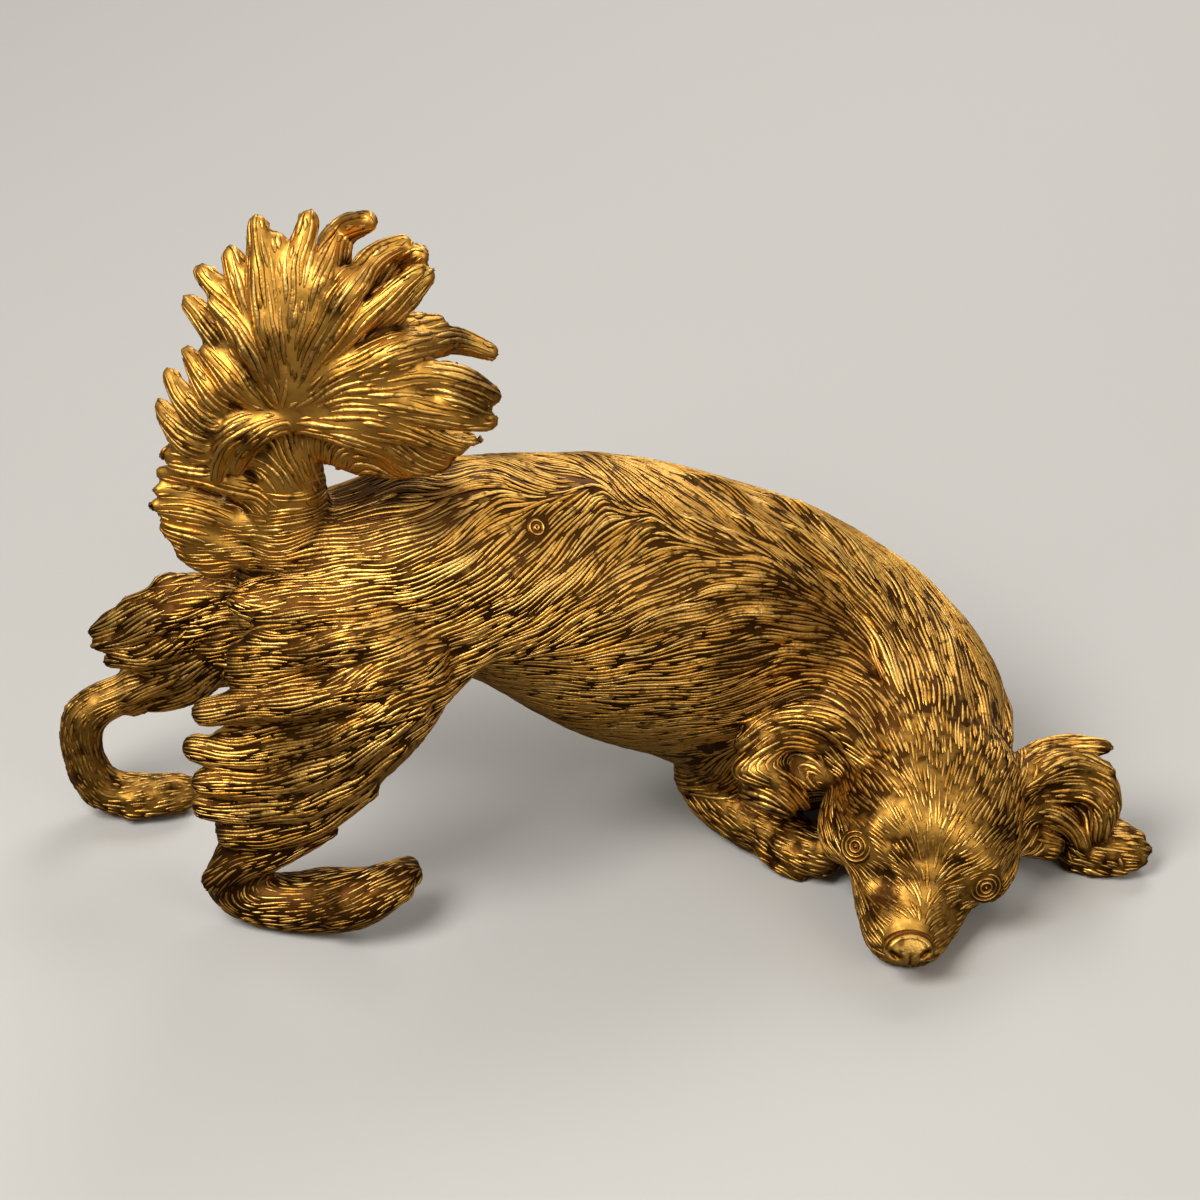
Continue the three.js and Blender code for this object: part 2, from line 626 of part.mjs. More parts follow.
function tailForm(grow) {
  const shape = { breadth: LOCK_BREADTH, thickness: LOCK_THICKNESS, grow };
  const locks = PLUME.flatMap(({ root, bow, ...fan }) => {
    return tuftTips({ root, ...fan }).map((tip) => lock(root, tip, { ...shape, bow }));
  });
  return joined([loft(DOCK, { grow, sides: LIMB_SIDES, steps: 2 }), ...locks]);
}

// Castings in the order of their copes: each one gives way to those before it
const forms = {
  head_casting: headForm,
  rump_casting: rumpForm,
  right_ear: (grow) => earForm(RIGHT_EAR, RIGHT_EAR_ACROSS, grow),
  left_ear: (grow) => earForm(LEFT_EAR, LEFT_EAR_ACROSS, grow),
  torso_casting: torsoForm,
  right_hind_leg: (grow) => limbForm(RIGHT_HIND, grow).add(feathers(RIGHT_FEATHERS, grow)),
  left_hind_shank: (grow) => limbForm(LEFT_SHANK, grow),
  left_hind_thigh: (grow) => limbForm(LEFT_THIGH, grow).add(feathers(LEFT_FEATHERS, grow)),
  right_foreleg: (grow) => limbForm(RIGHT_FORE, grow),
  left_foreleg: (grow) => limbForm(LEFT_FORE, grow),
  tail_plume: tailForm,
};

const groundSpan = 4 * (BACK_LENGTH + LEFT_FOREARM);
const groundBlock = new THREE.BoxGeometry(groundSpan, groundSpan, CROUP_HEIGHT);
const ground = solid(groundBlock.translate(0, 0, -CROUP_HEIGHT / 2));
const castings = {};
const before = [];
for (const [name, form] of Object.entries(forms)) {
  const clear = before.map((earlier) => earlier(JOINT_GAP));
  const coped = clear.reduce((whole, neighbour) => whole.subtract(neighbour), form(0));
  castings[name] = mainBody(coped.subtract(ground));
  before.push(form);
}

// Hollow body: the torso's wall ends in a sleeve that slides into the rump's bore
const sleeveBore = coreForm(BODY_WALL + JOINT_GAP + SLEEVE_WALL);
const sleeve = coreForm(BODY_WALL + JOINT_GAP)
  .intersect(behindWaist(BODY_WALL))
  .subtract(behindWaist(-SLEEVE_REACH));
castings.rump_casting = castings.rump_casting.subtract(coreForm(BODY_WALL));
castings.torso_casting = mainBody(castings.torso_casting.add(sleeve).subtract(sleeveBore));

// Pins and plugs are drawn as long bars and filed flush with the form that they stand in
const fittings = {};

function drive(name, { middle, outward, radius, past, into, through }) {
  const away = vector(outward).normalize();
  const outer = middle.clone().addScaledVector(away, PIN_OUTSIDE);
  const inner = middle.clone().addScaledVector(away, -past);
  const hole = solid(bar(outer, inner.clone().addScaledVector(away, -JOINT_GAP), radius + JOINT_GAP));
  fittings[name] = solid(bar(outer, inner, radius)).intersect(forms[into](0));
  for (const casting of [into, ...through]) {
    castings[casting] = mainBody(castings[casting].subtract(hole));
  }
}

function keyed(child, parent, spigot, pinName) {
  const from = vector(spigot.from);
  const to = vector(spigot.to);
  const away = to.clone().sub(from).normalize();
  const socketEnd = to.clone().addScaledVector(away, JOINT_GAP);
  const socket = solid(bar(from, socketEnd, spigot.radius + JOINT_GAP));
  castings[child] = castings[child].add(solid(bar(from, to, spigot.radius)));
  castings[parent] = mainBody(castings[parent].subtract(socket));
  if (pinName) {
    drive(pinName, {
      middle: from.clone().lerp(to, spigot.pinAt),
      outward: spigot.pinFrom,
      radius: PIN_RADIUS,
      past: spigot.radius + PIN_BITE,
      into: parent,
      through: [child],
    });
  }
}

function earSpigot(sections) {
  const from = sections[0].at.clone().lerp(sections[1].at, EAR_SPIGOT_START);
  const to = sections[0].at.clone();
  to.addScaledVector(to.clone().sub(from).normalize(), EAR_SPIGOT_REACH);
  return {
    from: from.applyMatrix4(headFrame).toArray(),
    to: to.applyMatrix4(headFrame).toArray(),
    radius: EAR_SPIGOT_RADIUS,
  };
}

keyed("head_casting", "torso_casting", NECK_SPIGOT, "neck_pin");
keyed("right_ear", "head_casting", earSpigot(RIGHT_EAR));
keyed("left_ear", "head_casting", earSpigot(LEFT_EAR));
keyed("tail_plume", "rump_casting", TAIL_SPIGOT, "tail_pin");
keyed("right_hind_leg", "rump_casting", RIGHT_HIND_SPIGOT, "right_hip_pin");
keyed("left_hind_thigh", "rump_casting", LEFT_HIND_SPIGOT, "left_hip_pin");
keyed("left_hind_shank", "left_hind_thigh", LEFT_SHANK_SPIGOT, "left_shank_pin");
keyed("right_foreleg", "torso_casting", RIGHT_FORE_SPIGOT, "right_shoulder_pin");
keyed("left_foreleg", "torso_casting", LEFT_FORE_SPIGOT, "left_shoulder_pin");

const sleeveMiddle = vector(WAIST).addScaledVector(waistAlong, -SLEEVE_REACH / 2);
const sleeveReach = BODY.haunch.halfWidth - BODY_WALL - SLEEVE_WALL;
for (const [hand, outward] of Object.entries(WAIST_PIN_SIDES)) {
  drive(`${hand}_waist_pin`, {
    middle: sleeveMiddle,
    outward,
    radius: PIN_RADIUS,
    past: PIN_BITE - sleeveReach,
    into: "rump_casting",
    through: ["torso_casting"],
  });
}
for (const [hand, outward] of Object.entries(PLUG_SIDES)) {
  drive(`${hand}_core_plug`, {
    middle: vector(PLUG_MIDDLE),
    outward,
    radius: PLUG_RADIUS,
    past: 0,
    into: "torso_casting",
    through: [],
  });
  fittings[`${hand}_core_plug`] = fittings[`${hand}_core_plug`].subtract(sleeveBore);
}

// Materials
const gilding = { color: 0xc2902c, metalness: 1, roughness: 0.34 };
const wornGilding = { color: 0x8f6420, metalness: 1, roughness: 0.45 };
const bronze = { color: 0x6b4a23, metalness: 1, roughness: 0.5 };
const wornCastings = ["rump_casting", "tail_plume"];

function addMesh(group, name, piece, finish) {
  const { vertProperties, triVerts } = piece.getMesh();
  const geometry = new THREE.BufferGeometry();
  geometry.setAttribute("position", new THREE.BufferAttribute(new Float32Array(vertProperties), 3));
  geometry.setIndex(new THREE.BufferAttribute(new Uint32Array(triVerts), 1));
  geometry.computeVertexNormals();
  const mesh = new THREE.Mesh(geometry, new THREE.MeshStandardMaterial(finish));
  mesh.name = name;
  group.add(mesh);
}

const figure = new THREE.Group();
for (const [name, piece] of Object.entries(castings)) {
  addMesh(figure, name, piece, wornCastings.includes(name) ? wornGilding : gilding);
}
for (const [name, piece] of Object.entries(fittings)) {
  addMesh(figure, name, piece, bronze);
}

// The figurine stands on the ground plane, with the middle of its outline over the origin
const outline = new THREE.Box3().setFromObject(figure, true);
const outlineMiddle = outline.getCenter(new THREE.Vector3());
figure.position.set(-outlineMiddle.x, -outlineMiddle.y, -outline.min.z);
figure.updateMatrixWorld(true);

const dog = new THREE.Group();
dog.name = "dog_figurine";
dog.add(figure);

export default dog;
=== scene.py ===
"""Looks of the dog figurine: cast bronze, chased with hair and fire-gilded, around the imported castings."""

import math

import bpy
import numpy as np
import openvdb
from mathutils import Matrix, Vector


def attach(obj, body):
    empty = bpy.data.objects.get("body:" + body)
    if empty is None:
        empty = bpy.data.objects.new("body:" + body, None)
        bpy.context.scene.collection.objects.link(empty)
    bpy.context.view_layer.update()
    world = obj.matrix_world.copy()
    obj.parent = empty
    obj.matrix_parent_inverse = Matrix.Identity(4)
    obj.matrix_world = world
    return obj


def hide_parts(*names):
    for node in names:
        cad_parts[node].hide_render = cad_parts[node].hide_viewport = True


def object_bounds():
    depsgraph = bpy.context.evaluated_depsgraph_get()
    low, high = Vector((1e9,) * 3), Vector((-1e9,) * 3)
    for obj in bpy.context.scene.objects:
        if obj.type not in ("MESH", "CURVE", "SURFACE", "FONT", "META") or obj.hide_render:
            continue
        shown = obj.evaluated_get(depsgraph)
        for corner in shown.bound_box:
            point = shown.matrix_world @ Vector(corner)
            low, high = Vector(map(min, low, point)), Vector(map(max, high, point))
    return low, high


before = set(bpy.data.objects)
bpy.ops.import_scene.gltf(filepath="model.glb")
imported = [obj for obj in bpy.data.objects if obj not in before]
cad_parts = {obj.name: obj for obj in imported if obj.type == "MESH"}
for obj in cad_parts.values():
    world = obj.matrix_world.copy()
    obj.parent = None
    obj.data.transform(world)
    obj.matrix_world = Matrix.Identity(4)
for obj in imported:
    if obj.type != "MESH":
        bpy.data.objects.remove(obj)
CAD_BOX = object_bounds()

# Lengths are in millimetres up to the making of each mesh
MM = 0.001
VOXEL = 0.4  # grid on which the castings are joined and smoothed
BAND = 6.0  # depth of the distance fields on either side of a surface
ROOM = 9.0  # free grid round the part
SLOPE_REACH = 1.2 * VOXEL  # over which a slope is measured, to either side
BELL_REACH = 2.2  # widths of its bell curve at which a smoothing ends
SKIN_EASE = 0.12  # how freely flat parts of a skin are given larger faces
SEED = 11

# Castings, each with the guide strokes that its hair follows
HAIR_GROUPS = {
    "torso_casting": ["body", "ruff", "mane"],
    "rump_casting": ["body", "feathers"],
    "right_hind_leg": ["body", "feathers"],
    "left_hind_thigh": ["far_leg", "far_feathers"],
    "left_hind_shank": ["far_leg"],
    "right_foreleg": ["right_foreleg"],
    "left_foreleg": ["left_foreleg"],
    "head_casting": ["head", "ruff"],
    "right_ear": ["right_ear"],
    "left_ear": ["left_ear"],
    "tail_plume": ["dock", "tail", "left_tuft", "fan", "front_fan", "right_tuft", "dock_curl"],
}
CASTINGS = list(HAIR_GROUPS)

# The picture plane: the view of the photograph, 1200 pixels square
PICTURE = 1200
VIEW_TARGET = np.array([-0.1, 21.8, 35.0])
VIEW_DISTANCE = 700.0
VIEW_ELEVATION = math.radians(32)
VIEW_HALF_WIDTH = 102.0  # at the target
VIEW_DEPTH = 130.0  # before and behind the target
RAY_STEP = 0.5
SENSOR = 36.0

# Guide strokes of the hair on the picture plane, from root to tip, each point across and down
STROKES = {
    "body": [
        # above the parting, over the far side
        (640, 505, 610, 475, 570, 452), (700, 540, 665, 500, 625, 465), (745, 550, 715, 510, 670, 472),
        (800, 600, 775, 540, 730, 490), (860, 600, 830, 550, 790, 500), (520, 480, 480, 465, 430, 452),
        (440, 490, 400, 480, 350, 472), (560, 488, 520, 470, 470, 454), (915, 640, 895, 590, 870, 560),
        (940, 690, 930, 640, 905, 592), (960, 720, 957, 670, 942, 625), (1000, 720, 990, 680, 972, 645),
        # below the parting, over the flank and haunch
        (600, 500, 570, 540, 535, 580, 480, 615, 430, 640, 380, 660),
        (560, 495, 530, 530, 500, 560, 460, 590, 410, 605, 340, 615),
        (500, 495, 470, 525, 440, 550, 400, 565, 350, 568, 300, 575),
        (650, 515, 615, 550, 580, 590, 530, 630, 470, 660, 400, 690),
        (460, 500, 420, 522, 380, 530, 345, 535), (640, 580, 590, 600, 540, 630, 490, 655),
        (700, 545, 650, 560, 610, 590, 570, 620, 520, 650),
        (760, 565, 710, 565, 670, 585, 630, 605, 590, 625),
        (800, 590, 750, 590, 700, 600, 650, 615, 600, 640),
        (820, 615, 770, 615, 720, 625, 670, 640, 620, 655, 570, 660),
        (690, 660, 640, 665, 590, 672, 540, 668, 495, 662),
        (730, 690, 680, 695, 630, 695, 580, 695, 530, 690), (730, 715, 680, 720, 630, 722, 580, 725),
        (720, 745, 670, 748, 620, 748), (740, 775, 700, 778, 660, 778),
        # foot
        (225, 870, 205, 895, 240, 915, 300, 918, 360, 900, 400, 875),
    ],
    "tail": [
        # strands that sweep back from the foot of the dock
        (350, 560, 300, 548, 250, 525, 200, 508, 155, 505),
        (350, 575, 300, 572, 250, 556, 200, 535, 168, 527),
        (320, 540, 280, 522, 230, 500, 190, 490, 158, 490), (300, 500, 260, 490, 210, 475, 160, 472),
        (310, 470, 270, 462, 235, 455), (312, 530, 310, 490, 308, 440),
    ],
    "dock": [
        (290, 575, 286, 520, 284, 465, 288, 415),
    ],
    "near_foot": [
        (250, 898, 305, 900, 358, 893, 396, 880),
    ],
    "left_tuft": [
        (255, 440, 215, 425, 182, 398, 168, 374), (255, 420, 218, 398, 197, 368, 187, 352),
        (235, 460, 195, 443, 168, 420, 160, 405), (262, 405, 240, 385, 222, 362, 205, 350),
    ],
    "fan": [
        (278, 400, 240, 355, 205, 320, 186, 300), (278, 396, 250, 345, 220, 295, 200, 270),
        (280, 393, 262, 340, 240, 285, 228, 252), (283, 390, 272, 330, 260, 270, 254, 220),
        (286, 388, 282, 330, 276, 275, 273, 238), (290, 388, 292, 330, 295, 265, 306, 215),
        (295, 388, 305, 330, 318, 275, 338, 228, 366, 217),
        (300, 388, 320, 340, 345, 290, 375, 250, 400, 240),
        (305, 390, 332, 350, 368, 305, 398, 262, 418, 251),
        (308, 392, 345, 352, 385, 312, 412, 284, 424, 273), (310, 394, 350, 358, 395, 328, 436, 322),
    ],
    "front_fan": [
        (282, 392, 255, 352, 230, 318, 212, 302), (284, 390, 272, 345, 262, 300, 256, 265),
        (294, 390, 312, 340, 334, 296, 346, 272), (302, 386, 335, 342, 380, 302, 416, 268),
        (300, 380, 328, 322, 356, 280, 384, 254),
    ],
    "right_tuft": [
        (290, 395, 340, 372, 400, 350, 455, 338, 490, 352),
        (290, 402, 345, 385, 410, 374, 465, 380, 493, 396), (345, 392, 410, 390, 455, 398, 482, 408),
        (292, 408, 345, 398, 405, 402, 455, 418, 488, 420),
        (295, 415, 345, 412, 400, 425, 438, 440, 456, 447), (300, 420, 340, 424, 375, 440, 402, 459),
    ],
    "dock_curl": [
        (288, 412, 255, 415, 232, 430, 222, 455, 218, 478), (292, 418, 264, 428, 246, 445, 238, 470),
    ],
    "head": [
        (925, 840, 900, 800, 870, 770, 850, 750), (928, 835, 915, 790, 895, 750),
        (930, 830, 930, 790, 925, 745), (935, 830, 945, 790, 950, 745), (940, 835, 965, 800, 985, 750),
        (945, 840, 980, 810, 1000, 770), (905, 850, 880, 820, 850, 800, 835, 770),
        (850, 900, 835, 850, 825, 800, 815, 765), (875, 945, 852, 900, 840, 860),
        (960, 870, 990, 855, 1010, 835), (965, 900, 1000, 890, 1015, 865), (900, 900, 880, 890, 865, 870),
        (945, 915, 965, 905, 980, 895),
    ],
    "right_ear": [
        (880, 762, 862, 715, 825, 690, 782, 697, 748, 722),
        (868, 765, 845, 728, 805, 712, 768, 722, 738, 745),
        (850, 770, 825, 742, 790, 735, 760, 748, 742, 764), (745, 770, 768, 775, 790, 788, 806, 806),
        (750, 790, 772, 798, 790, 812),
    ],
    "left_ear": [
        (1005, 785, 1030, 757, 1070, 744, 1106, 747), (1008, 792, 1045, 767, 1080, 758, 1108, 772),
        (1012, 800, 1050, 788, 1086, 790, 1106, 806, 1100, 836),
        (1015, 812, 1046, 810, 1071, 822, 1084, 850), (1005, 828, 1030, 834, 1058, 845),
        (1002, 848, 1028, 857, 1052, 865),
    ],
    "far_leg": [
        (215, 565, 200, 600, 190, 640), (190, 580, 150, 600, 110, 622), (230, 580, 225, 620, 215, 650),
        (170, 570, 130, 590, 97, 616), (200, 660, 160, 665, 112, 652),
        (130, 680, 90, 695, 65, 720, 75, 760, 100, 800, 150, 790, 190, 785),
    ],
    "ruff": [
        (850, 640, 800, 632, 750, 636, 705, 648), (870, 665, 830, 648, 785, 648, 740, 662),
        (880, 690, 850, 668, 810, 658, 768, 668, 735, 688),
        (890, 730, 872, 694, 835, 676, 790, 682, 760, 700),
        (905, 690, 885, 650, 850, 618, 812, 604, 775, 606), (900, 640, 868, 605, 830, 580, 790, 572),
        (918, 700, 908, 655, 885, 612, 855, 580), (940, 705, 932, 655, 912, 605, 885, 570),
        (962, 725, 957, 675, 940, 628, 915, 590), (985, 735, 982, 690, 965, 645),
        (1008, 745, 1003, 705, 985, 665), (860, 600, 830, 550, 792, 505), (820, 590, 785, 545, 745, 505),
    ],
    "right_foreleg": [
        (690, 780, 720, 810, 780, 850, 822, 868), (660, 775, 700, 815, 760, 852, 800, 872),
    ],
    "left_foreleg": [
        (1060, 835, 1095, 835, 1140, 848), (1060, 850, 1095, 858, 1135, 862),
    ],
    "feathers": [
        (400, 620, 350, 640, 300, 655, 240, 655), (440, 650, 380, 680, 320, 700, 260, 705, 205, 712),
        (440, 680, 390, 710, 340, 735, 280, 750, 230, 755, 195, 748),
        (420, 710, 370, 745, 320, 770, 260, 785, 205, 782),
        (400, 745, 350, 785, 300, 805, 240, 810, 205, 806), (370, 790, 320, 820, 270, 835, 230, 835),
        (330, 830, 280, 850, 240, 865, 215, 880), (380, 600, 320, 618, 270, 612, 240, 602),
        (360, 585, 300, 590, 250, 578),
    ],
    "far_feathers": [
        (275, 566, 240, 572, 205, 582), (225, 575, 170, 595, 110, 622, 92, 632),
        (225, 590, 170, 615, 120, 640, 96, 645), (225, 610, 180, 640, 140, 658, 108, 662),
        (230, 635, 190, 668, 150, 690, 128, 700), (235, 655, 200, 685, 170, 702, 150, 707),
    ],
    "right_toes": [
        (780, 845, 805, 862, 826, 874), (765, 850, 785, 868, 800, 878), (800, 838, 815, 850, 829, 862),
    ],
    "left_toes": [
        (1075, 830, 1110, 824, 1140, 838), (1075, 842, 1112, 838, 1148, 850),
        (1075, 855, 1110, 855, 1143, 862), (1070, 865, 1095, 868, 1125, 870),
    ],
    "mane": [
        (846, 606, 790, 568, 740, 545, 690, 522), (812, 572, 779, 545, 740, 520),
        (836, 566, 804, 536, 763, 504), (866, 600, 830, 562, 791, 530), (836, 540, 806, 516, 766, 497),
        (744, 502, 714, 487, 684, 477), (872, 580, 850, 548, 822, 524),
        (838, 606, 790, 582, 735, 584, 690, 600), (826, 626, 762, 612, 706, 624),
        (812, 588, 768, 566, 722, 566), (896, 640, 876, 600, 850, 566), (894, 690, 884, 650, 868, 612),
    ],
    "thigh_web": [(436, 692, 456, 662, 490, 650)],
    "near_toes": [
        (340, 900, 378, 878, 408, 868), (345, 912, 382, 892, 411, 876), (335, 922, 372, 908, 402, 890),
    ],
    "far_toes": [
        (130, 800, 165, 792, 196, 782), (130, 812, 165, 806, 194, 796),
    ],
    "sleeve": [
        (126, 668, 130, 690, 134, 712), (134, 668, 139, 690, 143, 710),
    ],
}

# Locks: strokes that stand out of a casting as tapered tufts, in the order in which they are laid on,
# with the half widths at root, middle and tip, and the lifts towards the viewer at these three
LOCKS = {
    "tail": ("tail_plume", (1.5, 2.2, 1.0), (0, 0, 0)),
    "dock": ("tail_plume", (8.0, 6.5, 4.5), (-2, -2, -1)),
    "near_foot": ("right_hind_leg", (3.6, 4.6, 2.8), (-2.2, -2.6, -1)),
    "left_tuft": ("tail_plume", (2.0, 2.8, 1.3), (1, 1, -2)),
    "fan": ("tail_plume", (1.8, 2.9, 1.6), (1, -2, -6)),
    "front_fan": ("tail_plume", (1.6, 2.3, 1.3), (2, 1, -3)),
    "right_tuft": ("tail_plume", (2.0, 3.0, 1.5), (2, 3, 0)),
    "dock_curl": ("tail_plume", (1.8, 2.0, 1.1), (2, 4, 3)),
    "right_ear": ("right_ear", (2.2, 2.2, 1.1), (0, 0.6, 0)),
    "left_ear": ("left_ear", (2.2, 2.1, 1.3), (0, 0.6, 0)),
    "ruff": ("torso_casting", (1.0, 1.5, 0.6), (-0.3, 0, -0.2)),
    "feathers": ("right_hind_leg", (1.5, 2.9, 2.3), (0, 0, 0)),
    "far_feathers": ("left_hind_thigh", (1.5, 2.4, 1.0), (0, 0, 0)),
    "right_toes": ("right_foreleg", (1.6, 1.6, 0.9), (0, 0, 0)),
    "left_toes": ("left_foreleg", (1.6, 1.7, 1.0), (0, 0, 0)),
    "mane": ("torso_casting", (1.2, 2.0, 0.9), (-0.4, 0.3, 0.6)),
    "thigh_web": ("right_hind_leg", (2.5, 3.2, 2.5), (-2.2, -2.4, -2.2)),
    "near_toes": ("right_hind_leg", (1.5, 2.1, 2.0), (0, 0.4, 0)),
    "far_toes": ("left_hind_shank", (1.4, 1.6, 1.0), (0, 0, 0)),
    "sleeve": ("left_hind_shank", (1.0, 1.2, 1.0), (0.4, 0.4, 0.4)),
}
PLUME_FOOT = 90.0  # above this height, what lies before the plume's face is made of locks alone
PLUME_FACE = -10.5
LOCK_SUNK = 0.4  # share of its half width by which a lock lies in the casting
LOCK_FILLET = 0.7
LOCK_ROOM = 2.0  # round a lock, for its fillet
PATH_STEP = 1.5  # between the points of a stroke's path

# Swellings and hollows: casting, place on the picture plane, radius of a ball, and its rise above the skin
FORMS = [
    ("torso_casting", (760, 610), 17, 0.8),  # shoulder
    ("torso_casting", (660, 680), 20, 0.6),  # ribs
    ("torso_casting", (885, 712), 10.0, 1.2),  # nape, up to the crown
    ("torso_casting", (932, 700), 10.0, 1.6),
    ("torso_casting", (975, 716), 10.0, 1.2),
    ("head_casting", (935, 850), 4.5, -1.5),  # stop between the eyes
    ("head_casting", (900, 812), 7.0, 0.8),  # brows
    ("head_casting", (968, 832), 7.0, 0.8),
    ("head_casting", (857, 846), 3.8, -0.5),  # eye hollows
    ("head_casting", (985, 886), 3.8, -0.5),
    ("head_casting", (880, 888), 4.0, -0.9),  # hollows beside the muzzle
    ("head_casting", (957, 916), 4.0, -0.9),
    ("head_casting", (923, 893), 3.6, 0.9),  # bridge of the muzzle
    ("head_casting", (915, 918), 3.6, 0.9),
    ("head_casting", (892, 838), 2.4, -0.8),  # grooves of the brows
    ("head_casting", (957, 866), 2.4, -0.8),
    ("torso_casting", (596, 491), 0.9, -1.1),  # slot in the spine
]
FORM_FILLET = 0.35  # share of a form's radius
FORM_REACH = 1.8  # radii within which a form may change the skin

# Eyes, nose pad and plug: places on the picture plane, measures, and the radius that is kept free of hair
NOSE = (909, 948)
NOSE_HALF_WIDTH = 4.3
NOSE_HALF_HEIGHT = 2.8
NOSE_DOME = 1.3
NOSE_BARE = 4.8
EYES = [(857, 846), (985, 886)]
EYE_RADIUS = 2.9
EYE_RINGS = (0.0, 0.95, 1.7, 2.45)  # radii of the raised rings of an eye
EYE_DOME = 0.35
EYE_BARE = 3.1
PLUG = (536, 528)
PLUG_RADIUS = 1.6
PLUG_RINGS = (0.35, 1.2)
PLUG_DOME = 0.1
PLUG_BARE = 1.7
RING_WIDTH = 0.2
RING_HEIGHT = 0.28
DISC_ROWS = 34
DISC_TURNS = 56
DISC_DEPTH = 1.5
DISC_TONE = 0.6

# The grid
ORIGIN = np.array(CAD_BOX[0]) / MM - ROOM
SHAPE = tuple(int(n) for n in np.ceil((np.array(CAD_BOX[1]) / MM + ROOM - ORIGIN) / VOXEL))


def grid_box(points, margin):
    """The slices of the grid that hold points in millimetres, and a margin round them."""
    points = np.asarray(points)
    first = np.floor((points.min(axis=0) - margin - ORIGIN) / VOXEL).astype(int)
    last = np.ceil((points.max(axis=0) + margin - ORIGIN) / VOXEL).astype(int) + 1
    return tuple(slice(max(a, 0), min(b, n)) for a, b, n in zip(first, last, SHAPE))


def box_corner(box):
    return ORIGIN + np.array([part.start for part in box]) * VOXEL


def box_shape(box):
    return [part.stop - part.start for part in box]


def shared(box, other):
    """The grid that two boxes share, as slices of each of them."""
    first = [max(a.start, b.start) for a, b in zip(box, other)]
    last = [max(start, min(a.stop, b.stop)) for start, a, b in zip(first, box, other)]
    return [
        tuple(slice(start - part.start, end - part.start) for start, end, part in zip(first, last, whole))
        for whole in (box, other)
    ]


def box_places(box):
    """The places of all grid points of a box."""
    axes = [ORIGIN[a] + np.arange(part.start, part.stop) * VOXEL for a, part in enumerate(box)]
    return np.stack(np.meshgrid(*axes, indexing="ij"), axis=-1).astype(np.float32)


def unit(vectors):
    return vectors / np.maximum(np.linalg.norm(vectors, axis=-1, keepdims=True), 1e-9)


class Field:
    """Distances from a surface on a box of the grid, negative within it."""

    def __init__(self, values, box):
        self.values = values
        self.box = box
        self.corner = box_corner(box)

    def ends(self):
        """The lowest and the highest corner of the box."""
        return [self.corner, self.corner + np.array(self.values.shape) * VOXEL]

    def at(self, points):
        """The values at points, between grid points in proportion."""
        place = np.clip((points - self.corner) / VOXEL, 0, np.array(self.values.shape) - 1.001)
        cell = place.astype(int)
        x, y, z = (place - cell).T
        _, rows, columns = self.values.shape
        first = (cell[:, 0] * rows + cell[:, 1]) * columns + cell[:, 2]
        flat = self.values.reshape(-1)
        total = np.zeros(len(points))
        for i, j, k in np.ndindex(2, 2, 2):
            share = (x if i else 1 - x) * (y if j else 1 - y) * (z if k else 1 - z)
            total += share * flat.take(first + (i * rows + j) * columns + k)
        return total

    def slope(self, points):
        """The unit direction in which the values grow, which on the surface is its outward normal."""
        shifts = SLOPE_REACH * np.eye(3)
        return unit(np.stack([self.at(points + s) - self.at(points - s) for s in shifts], axis=1))

    def onto(self, points, rounds=3):
        """Points moved along the slope onto the surface."""
        for _ in range(rounds):
            points = points - self.at(points)[:, None] * self.slope(points)
        return points


def distance_field(node):
    """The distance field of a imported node, with the corners of its loose triangles merged."""
    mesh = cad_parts[node].data
    points = np.empty(len(mesh.vertices) * 3, np.float32)
    mesh.vertices.foreach_get("co", points)
    mesh.calc_loop_triangles()
    corners = np.empty(len(mesh.loop_triangles) * 3, np.int32)
    mesh.loop_triangles.foreach_get("vertices", corners)
    places, merged = np.unique(np.round(points.reshape(-1, 3) / MM, 3), axis=0, return_inverse=True)
    triangles = merged.reshape(-1)[corners].reshape(-1, 3).astype(np.uint32)
    box = grid_box(places, BAND)
    grid = openvdb.FloatGrid.createLevelSetFromPolygons(
        ((places - box_corner(box)) / VOXEL).astype(np.float32), triangles=triangles, halfWidth=BAND / VOXEL
    )
    values = np.empty(box_shape(box), np.float32)
    grid.copyToArray(values)
    return Field(values * VOXEL, box)


def blurred(values, sigma):
    """Values smoothed by a bell curve of that width in millimetres."""
    reach = int(math.ceil(BELL_REACH * sigma / VOXEL))
    weights = np.exp(-0.5 * (np.arange(-reach, reach + 1) * VOXEL / sigma) ** 2)
    weights = (weights / weights.sum()).astype(np.float32)
    for axis in range(3):
        padded = np.pad(values, [(reach, reach) if a == axis else (0, 0) for a in range(3)], mode="edge")
        values = np.zeros_like(values)
        view = np.moveaxis(padded, axis, 0)
        target = np.moveaxis(values, axis, 0)
        for start, weight in enumerate(weights):
            target += weight * view[start : start + len(target)]
    return values


FILL_STEP = 4  # grid points to each step of the search for hollows
FILL_FREE = 0.3  # distance from the metal beyond which a place is free


